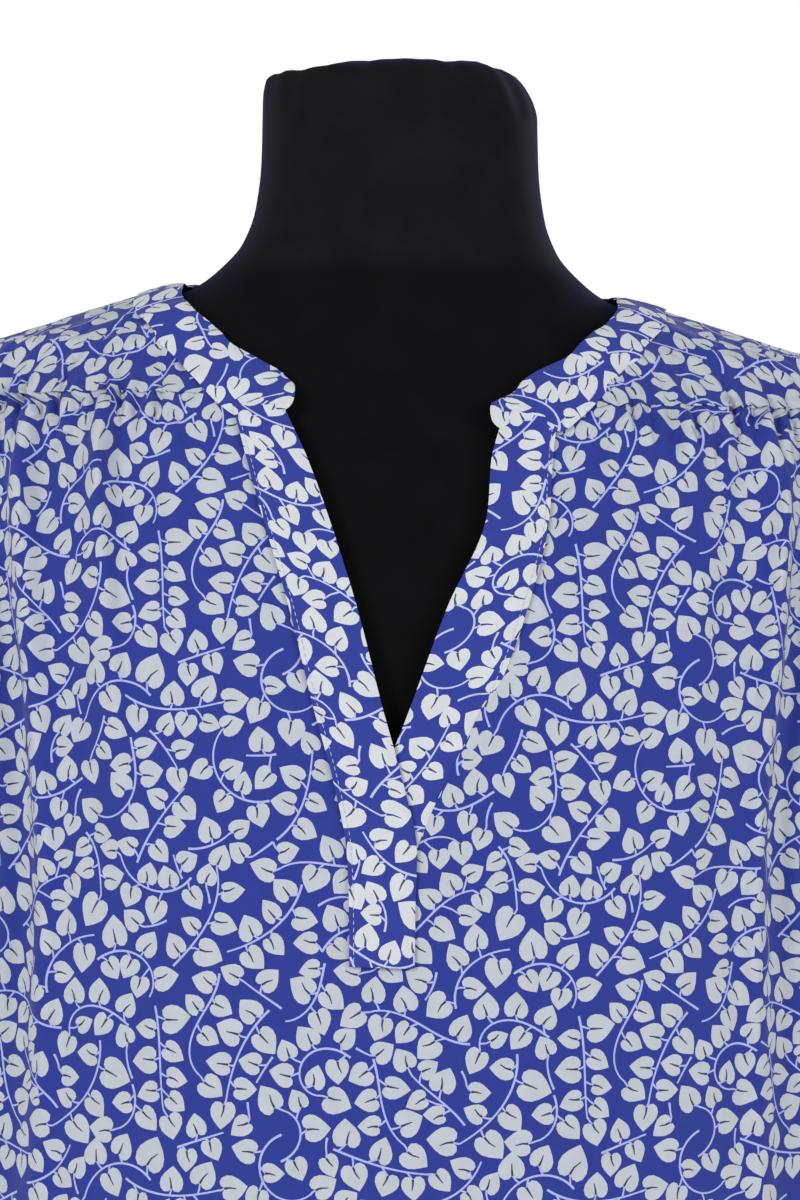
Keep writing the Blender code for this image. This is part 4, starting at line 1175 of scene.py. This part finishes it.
def sleeve_surface(side):
    """One sleeve's cloth in place, side 1 for the left arm."""
    shift = FOLD_SHIFTS[side]

    def surface(angle, share):
        """Share runs from 0 at the cuff to 1 at the armhole."""
        angle, share = np.broadcast_arrays(angle, 1.0 - share)
        along = sleeve_plain(side, angle + 1.0, share) - sleeve_plain(side, angle - 1.0, share)
        down = sleeve_plain(side, angle, share + 0.01) - sleeve_plain(side, angle, share - 0.01)
        normal = np.cross(along, down) * side
        normal /= np.linalg.norm(normal, axis=-1, keepdims=True)
        lift = SLEEVE_SLACK * np.sin(angle * 0.19 + share * 5.0) * np.sin(share * 9.0)
        for middle, half_width, rise, start, full in SLEEVE_FOLDS:
            middle = middle + shift
            offset = (angle - middle) / (half_width * (0.7 + 0.5 * share))
            lift = lift + rise * ease(share, start, full) * np.exp(-offset ** 2 * 1.4)
        pucker = np.sin(angle * 0.43 + shift) * np.exp(-share / SLEEVE_PUCKER_REACH) * ease(share, 0.0, 0.03)
        on_top = ease(np.cos(np.radians(angle)), -0.2, 0.6)
        lift = lift + SLEEVE_PUCKER * pucker * on_top + PANEL_LIFT
        return sleeve_plain(side, angle, share) + normal * lift[..., None]

    return surface


sleeve_cuts = []
for name, side, print_start in (("sleeve_of_right_arm", -1, (0.014, 0.040)),
                                ("sleeve_of_left_arm", 1, (0.120, 0.077))):
    surface = sleeve_surface(side)
    sleeve_flat, sleeve_body = lay_flat(surface, np.linspace(-180.0, 180.0, 361),
                                        np.linspace(0.0, 1.0, 200), 0.0, 0.35)
    path = [(angle, 0.0) for angle in np.linspace(-180.0, 180.0, 200)]
    path += [(180.0, share) for share in np.linspace(0.0, 1.0, 60)[1:]]
    path += [(angle, 1.0) for angle in np.linspace(180.0, -180.0, 300)[1:]]
    path += [(-180.0, share) for share in np.linspace(1.0, 0.0, 60)[1:-1]]
    path = np.array(path)
    outline = walk(sleeve_flat(path[:, 0], path[:, 1]), OUTLINE_STEP)
    sleeve_piece = cut_cloth(name, outline, lambda flat: surface(*sleeve_body(flat)), print_start,
                             SLEEVE_SPACING, facing=(side, 0, 0.5))
    sleeve_cuts.append((sleeve_piece, flat_size(outline)))
    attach(sleeve_piece, "root")
    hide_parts("sleeve_left" if side > 0 else "sleeve_right")


# ---------------------------------------------------------------------------------------------
# HEMS
# The foot of the front and back and both cuffs are turned in once and stitched down. Each is a
# narrow strip of the crepe, wrong side out, folded round the edge and up the inside.
# ---------------------------------------------------------------------------------------------
# How far the hems and cuffs are turned up, the fold's thickness, and how far its outer side stands
# out of the panel's cloth, so that it isn't lost in it.
HEM_TURN, CUFF_TURN, TURN_GAP, HEM_CLEAR = 0.012, 0.014, 0.0009, 0.0001
SLEEVE_LENGTH = 0.25  # from armhole to cuff, near enough to turn a cuff by
WRONG_SIDE = "#6C75B4"
# Columns round a hem and a cuff, rows across the strip, and how many of those make its fold.
BODY_HEM_COLUMNS, CUFF_COLUMNS, HEM_ROWS, FOLD_ROWS = 400, 160, 8, 4


def fold_hem(name, place, columns):
    """Strip folded round an edge; place(along, up, inwards, is_inside) gives its points."""
    bm = bmesh.new()
    bmesh.ops.create_grid(bm, x_segments=columns, y_segments=HEM_ROWS, size=1.0)
    along = np.array([(vert.co.x + 1) / 2 for vert in bm.verts])
    row = np.array([round((vert.co.y + 1) / 2 * HEM_ROWS) for vert in bm.verts])
    turned = np.clip(row / FOLD_ROWS, 0.0, 1.0) * np.pi
    up = np.where(row <= FOLD_ROWS, -TURN_GAP / 2 * np.sin(turned),
                  (row - FOLD_ROWS) / (HEM_ROWS - FOLD_ROWS))
    inwards = TURN_GAP * (1 - np.cos(turned)) / 2
    for vert, point in zip(bm.verts, place(along, up, inwards, row > FOLD_ROWS)):
        vert.co = point
    bmesh.ops.remove_doubles(bm, verts=bm.verts, dist=SAME_PLACE)
    mesh = bpy.data.meshes.new(name)
    bm.to_mesh(mesh)
    bm.free()
    colours = mesh.color_attributes.new("print", "FLOAT_COLOR", "CORNER")
    colours.data.foreach_set("color", np.tile(linear(WRONG_SIDE), len(mesh.loops)).astype(np.float32))
    mesh.uv_layers.new(name="cut")
    mesh.shade_smooth()
    made = add_object(name, mesh, crepe)
    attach(made, "root")
    return made


def body_hem(surface, first, last):
    """The hem's strip on a panel, from one angle to another."""
    def place(along, up, inwards, is_inside):
        angle = first + (last - first) * along
        height = HEM + np.where(is_inside, up * HEM_TURN, up)
        away = outward(cloth_ring, angle, HEM + 0 * angle)
        return surface(height, angle) - away * (inwards - HEM_CLEAR)[..., None]

    return place


def cuff_hem(side):
    """The cuff's strip, all round one sleeve."""
    surface = sleeve_surface(side)

    def place(along, up, inwards, is_inside):
        angle = -180.0 + 360.0 * along
        share = np.where(is_inside, up * CUFF_TURN / SLEEVE_LENGTH, up / SLEEVE_LENGTH)
        points = surface(angle, np.maximum(share, 0.0))
        middle = np.array((side * SLEEVE_OPENING[0], 0.0, SLEEVE_OPENING[2]))
        away = (points - middle) * (1.0, 1.0, 0.0)
        away /= np.linalg.norm(away, axis=-1, keepdims=True)
        points[:, 2] += np.minimum(share, 0.0) * SLEEVE_LENGTH
        return points - away * (inwards - HEM_CLEAR)[..., None]

    return place


front_hem = fold_hem("front_hem_turned", body_hem(front_surface, -90.0, 90.0), BODY_HEM_COLUMNS)
back_hem = fold_hem("back_hem_turned", body_hem(back_surface, 90.0, 270.0), BODY_HEM_COLUMNS)
cuff_hems = [fold_hem(name, cuff_hem(side), CUFF_COLUMNS)
             for name, side in (("right_cuff_turned", -1), ("left_cuff_turned", 1))]


# ---------------------------------------------------------------------------------------------
# STITCHES
# Lock stitches in pale thread: along the seams of the placket bands, across the placket's foot,
# along the neckband's seam, and round the hems and cuffs.
# ---------------------------------------------------------------------------------------------
STITCH_LENGTH, STITCH_PITCH, STITCH_WIDTH, STITCH_HEIGHT = 0.0023, 0.0029, 0.00040, 0.00026
SEAM_START = 0.0006  # along the seam, before the first stitch
THREAD_PALE = "#C6CCEE"
# Where the seams run: the share of a band's width, the height over the hem, and the share of the
# sleeve over the cuff. The two rows over the placket's foot end at a share of the upper band.
BAND_SEAM, HEM_SEAM, CUFF_SEAM = 0.93, 0.0105, 0.05
FOOT_ROWS, FOOT_ROW_END = (0.0045, 0.0015), 0.06
BAND_SEAM_TOP, UNDER_SEAM_FOOT = 0.678, 0.505
# The step beside a seam, which gives its face: in height, in share, and in share of the sleeve.
STEP_UP, SHARE_STEP, SLEEVE_STEP = 0.001, 0.05, 0.005

# Spun polyester thread: pale, with a slight gloss.
thread, tree = new_material("pale polyester sewing thread")
finish_material(tree, node(tree, "ShaderNodeBsdfPrincipled", {
    "Base Color": linear(THREAD_PALE), "Roughness": 0.55, "Sheen Weight": 0.1}))


def sew(name, seams):
    """Join rows of stitches into one piece; each seam is (points along it, points beside it)."""
    bm = bmesh.new()
    for line, beside in seams:
        gone = np.concatenate(((0.0,), np.cumsum(np.linalg.norm(np.diff(line, axis=0), axis=1))))
        for start in np.arange(SEAM_START, gone[-1] - STITCH_LENGTH, STITCH_PITCH):
            middle, end = start + STITCH_LENGTH / 2, start + STITCH_LENGTH
            spot, ahead, behind, across = (
                np.array([np.interp(stop, gone, path[:, axis]) for axis in range(3)])
                for stop, path in ((middle, line), (end, line), (start, line), (middle, beside)))
            along = Vector(ahead - behind).normalized()
            up = along.cross(Vector(across - spot)).normalized()
            turn = Matrix((along * STITCH_LENGTH / 2, along.cross(up) * STITCH_WIDTH / 2,
                           up * STITCH_HEIGHT / 2)).transposed()
            bmesh.ops.create_icosphere(bm, subdivisions=1, radius=1.0,
                                       matrix=Matrix.Translation(spot) @ turn.to_4x4())
    mesh = bpy.data.meshes.new(name)
    bm.to_mesh(mesh)
    bm.free()
    mesh.shade_smooth()
    made = add_object(name, mesh, thread)
    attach(made, "root")
    return made


def raised(points, beside, height):
    """Lift a line off its cloth, along the cloth's outward face."""
    along = np.gradient(points, axis=0)
    face = np.cross(along, beside - points)
    face /= np.linalg.norm(face, axis=1, keepdims=True)
    return points + face * height


def seam_on(surface, first, second, step_first, step_second, height=CLOTH_THICKNESS):
    """A seam over two arrays of a surface's coordinates, and the line a step beside it."""
    points, beside = surface(first, second), surface(first + step_first, second + step_second)
    return raised(points, beside, height), raised(beside, 2 * beside - points, height)


def band_seam(surface, along):
    """The seam that runs the length of a band."""
    return seam_on(surface, along, np.full(len(along), BAND_SEAM), 0.0, SHARE_STEP)


def foot_row(up):
    """A row across the foot of the placket."""
    return seam_on(band_surface(-1), np.full(60, PLACKET_FOOT + up),
                   np.linspace(BAND_SEAM, FOOT_ROW_END, 60), -STEP_UP, 0.0)


def hem_seam(surface, first, last):
    """The row that holds a hem up."""
    return seam_on(surface, np.full(900, HEM + HEM_SEAM), np.linspace(first, last, 900), STEP_UP, 0.0, 0.0)


def cuff_seam(side):
    """The row that holds a cuff up."""
    return seam_on(sleeve_surface(side), np.linspace(-178.0, 178.0, 600) * side,
                   np.full(600, CUFF_SEAM), 0.0, SLEEVE_STEP)


stitched = {
    "upper_band_stitches": [
        band_seam(band_surface(-1), np.linspace(PLACKET_FOOT + 0.001, BAND_SEAM_TOP, 400)),
        *(foot_row(up) for up in FOOT_ROWS)],
    "under_band_stitches": [
        band_seam(band_surface(1), np.linspace(BAND_SEAM_TOP, UNDER_SEAM_FOOT, 300))],
    "neckband_stitches": [band_seam(neckband_surface, np.linspace(9.0, 351.0, 1400))],
    "front_hem_stitches": [hem_seam(front_surface, -89.5, 89.5)],
    "back_hem_stitches": [hem_seam(back_surface, 90.5, 269.5)],
    "right_cuff_stitches": [cuff_seam(-1)],
    "left_cuff_stitches": [cuff_seam(1)],
}
stitches = {name: sew(name, seams) for name, seams in stitched.items()}

# Each cut of cloth, with its flat size, how it is held, what it rests on and what is sewn on it.
sheets = [
    (front_piece, front_cut, front_area, "gathered", ["yoke_panel"],
     [front_hem, stitches["front_hem_stitches"]]),
    (back_piece, back_cut, back_area, "gathered", ["yoke_panel"],
     [back_hem, stitches["back_hem_stitches"]]),
    (yoke_piece, yoke_cut, yoke_area, "draped", ["form_in_black_jersey"], []),
    (neckband_piece, neckband_cut, neckband_area, "draped", ["yoke_panel"],
     [stitches["neckband_stitches"]]),
]
for (band, (cut, area)), side in zip(band_cuts, ("under", "upper")):
    sheets.append((band, cut, area, "laid", ["front_panel"], [stitches[side + "_band_stitches"]]))
for (sleeve_piece, (cut, area)), side, cuff in zip(sleeve_cuts, ("right", "left"), cuff_hems):
    sheets.append((sleeve_piece, cut, area, "hung", ["yoke_panel"],
                   [cuff, stitches[side + "_cuff_stitches"]]))
for cloth, cut, area, held, rests_on, sewn_on in sheets:
    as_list(rests_on)
    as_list(sewn_on)


# ---------------------------------------------------------------------------------------------
# FLOOR, LIGHT AND CAMERA
# A pale plain floor, a bright even studio, and a close view of the neck and chest from the front,
# at the height of the bust.
# ---------------------------------------------------------------------------------------------
FLOOR_HALF_WIDTH = 6.0
ROOM_GLOW, BACKDROP_GLOW = 0.46, 1.0
# Painted light: the floor glows for the camera only, which brings it up to the backdrop's white where the
# lights fall off: how bright near the form and far from it, and the distances between which that changes.
FLOOR_GLOW, FAR_FLOOR_GLOW, GLOW_NEAR, GLOW_FAR = 0.36, 0.70, 0.9, 2.4
CAMERA_PLACE, VIEW_HEIGHT = (0.0, -1.35, 0.6036), 0.5196
SENSOR = 36.0

# Matt painted board: pale and without gloss, with a painted glow that only the camera sees.
board, tree = new_material("pale matt painted board")
seen = node(tree, "ShaderNodeLightPath")
floor_place = node(tree, "ShaderNodeTexCoord")
way_off = node(tree, "ShaderNodeVectorMath", {"operation": "LENGTH"},
               {"Vector": floor_place.outputs["Object"]})
lit = node(tree, "ShaderNodeMapRange", {
    "From Min": GLOW_NEAR, "From Max": GLOW_FAR, "To Min": FLOOR_GLOW, "To Max": FAR_FLOOR_GLOW},
    {"Value": way_off.outputs["Value"]})
glow = node(tree, "ShaderNodeMath", {"operation": "MULTIPLY"},
            {0: lit.outputs["Result"], 1: seen.outputs["Is Camera Ray"]})
finish_material(tree, node(tree, "ShaderNodeBsdfPrincipled", {
    "Base Color": linear("#F2F2F2"), "Roughness": 0.9, "Emission Color": linear("#FFFFFF")},
    {"Emission Strength": glow.outputs["Value"]}))
bm = bmesh.new()
bmesh.ops.create_grid(bm, x_segments=1, y_segments=1, size=FLOOR_HALF_WIDTH)
mesh = bpy.data.meshes.new("floor")
bm.to_mesh(mesh)
bm.free()
add_object("floor", mesh, board)

world = bpy.data.worlds.new("white studio")
bpy.context.scene.world = world
world.use_nodes = True
world.node_tree.nodes.clear()
tree = world.node_tree
path_kind = node(tree, "ShaderNodeLightPath")
glow = node(tree, "ShaderNodeMapRange", {"To Min": ROOM_GLOW, "To Max": BACKDROP_GLOW},
            {"Value": path_kind.outputs["Is Camera Ray"]})
backdrop = node(tree, "ShaderNodeBackground", {"Color": linear("#FFFFFF")},
                {"Strength": glow.outputs["Result"]})
node(tree, "ShaderNodeOutputWorld", links={"Surface": backdrop.outputs[0]})


def add_light(name, place, aim, size, power):
    """A square soft light that faces its aim."""
    data = bpy.data.lights.new(name, "AREA")
    data.shape, data.size, data.energy = "SQUARE", size, power
    light = bpy.data.objects.new(name, data)
    bpy.context.scene.collection.objects.link(light)
    light.location = place
    light.rotation_euler = (Vector(aim) - Vector(place)).to_track_quat("-Z", "Y").to_euler()


add_light("key", (-1.3, -1.6, 1.25), (0.0, 0.0, 0.55), 0.6, 15.0)
add_light("fill", (1.5, -1.4, 1.0), (0.0, 0.0, 0.55), 0.9, 10.5)
add_light("behind, its left", (1.5, 1.7, 1.3), (0.0, 0.0, 0.5), 0.7, 15.0)
add_light("behind, its right", (-1.6, 1.5, 0.9), (0.0, 0.0, 0.5), 1.0, 8.0)

lens = bpy.data.cameras.new("camera")
lens.sensor_fit, lens.sensor_height = "VERTICAL", SENSOR
lens.lens = SENSOR * -CAMERA_PLACE[1] / VIEW_HEIGHT
camera = bpy.data.objects.new("camera", lens)
bpy.context.scene.collection.objects.link(camera)
camera.location = CAMERA_PLACE
camera.rotation_euler = (math.radians(90.0), 0.0, 0.0)
bpy.context.scene.camera = camera
bpy.context.scene.view_settings.view_transform = "Standard"
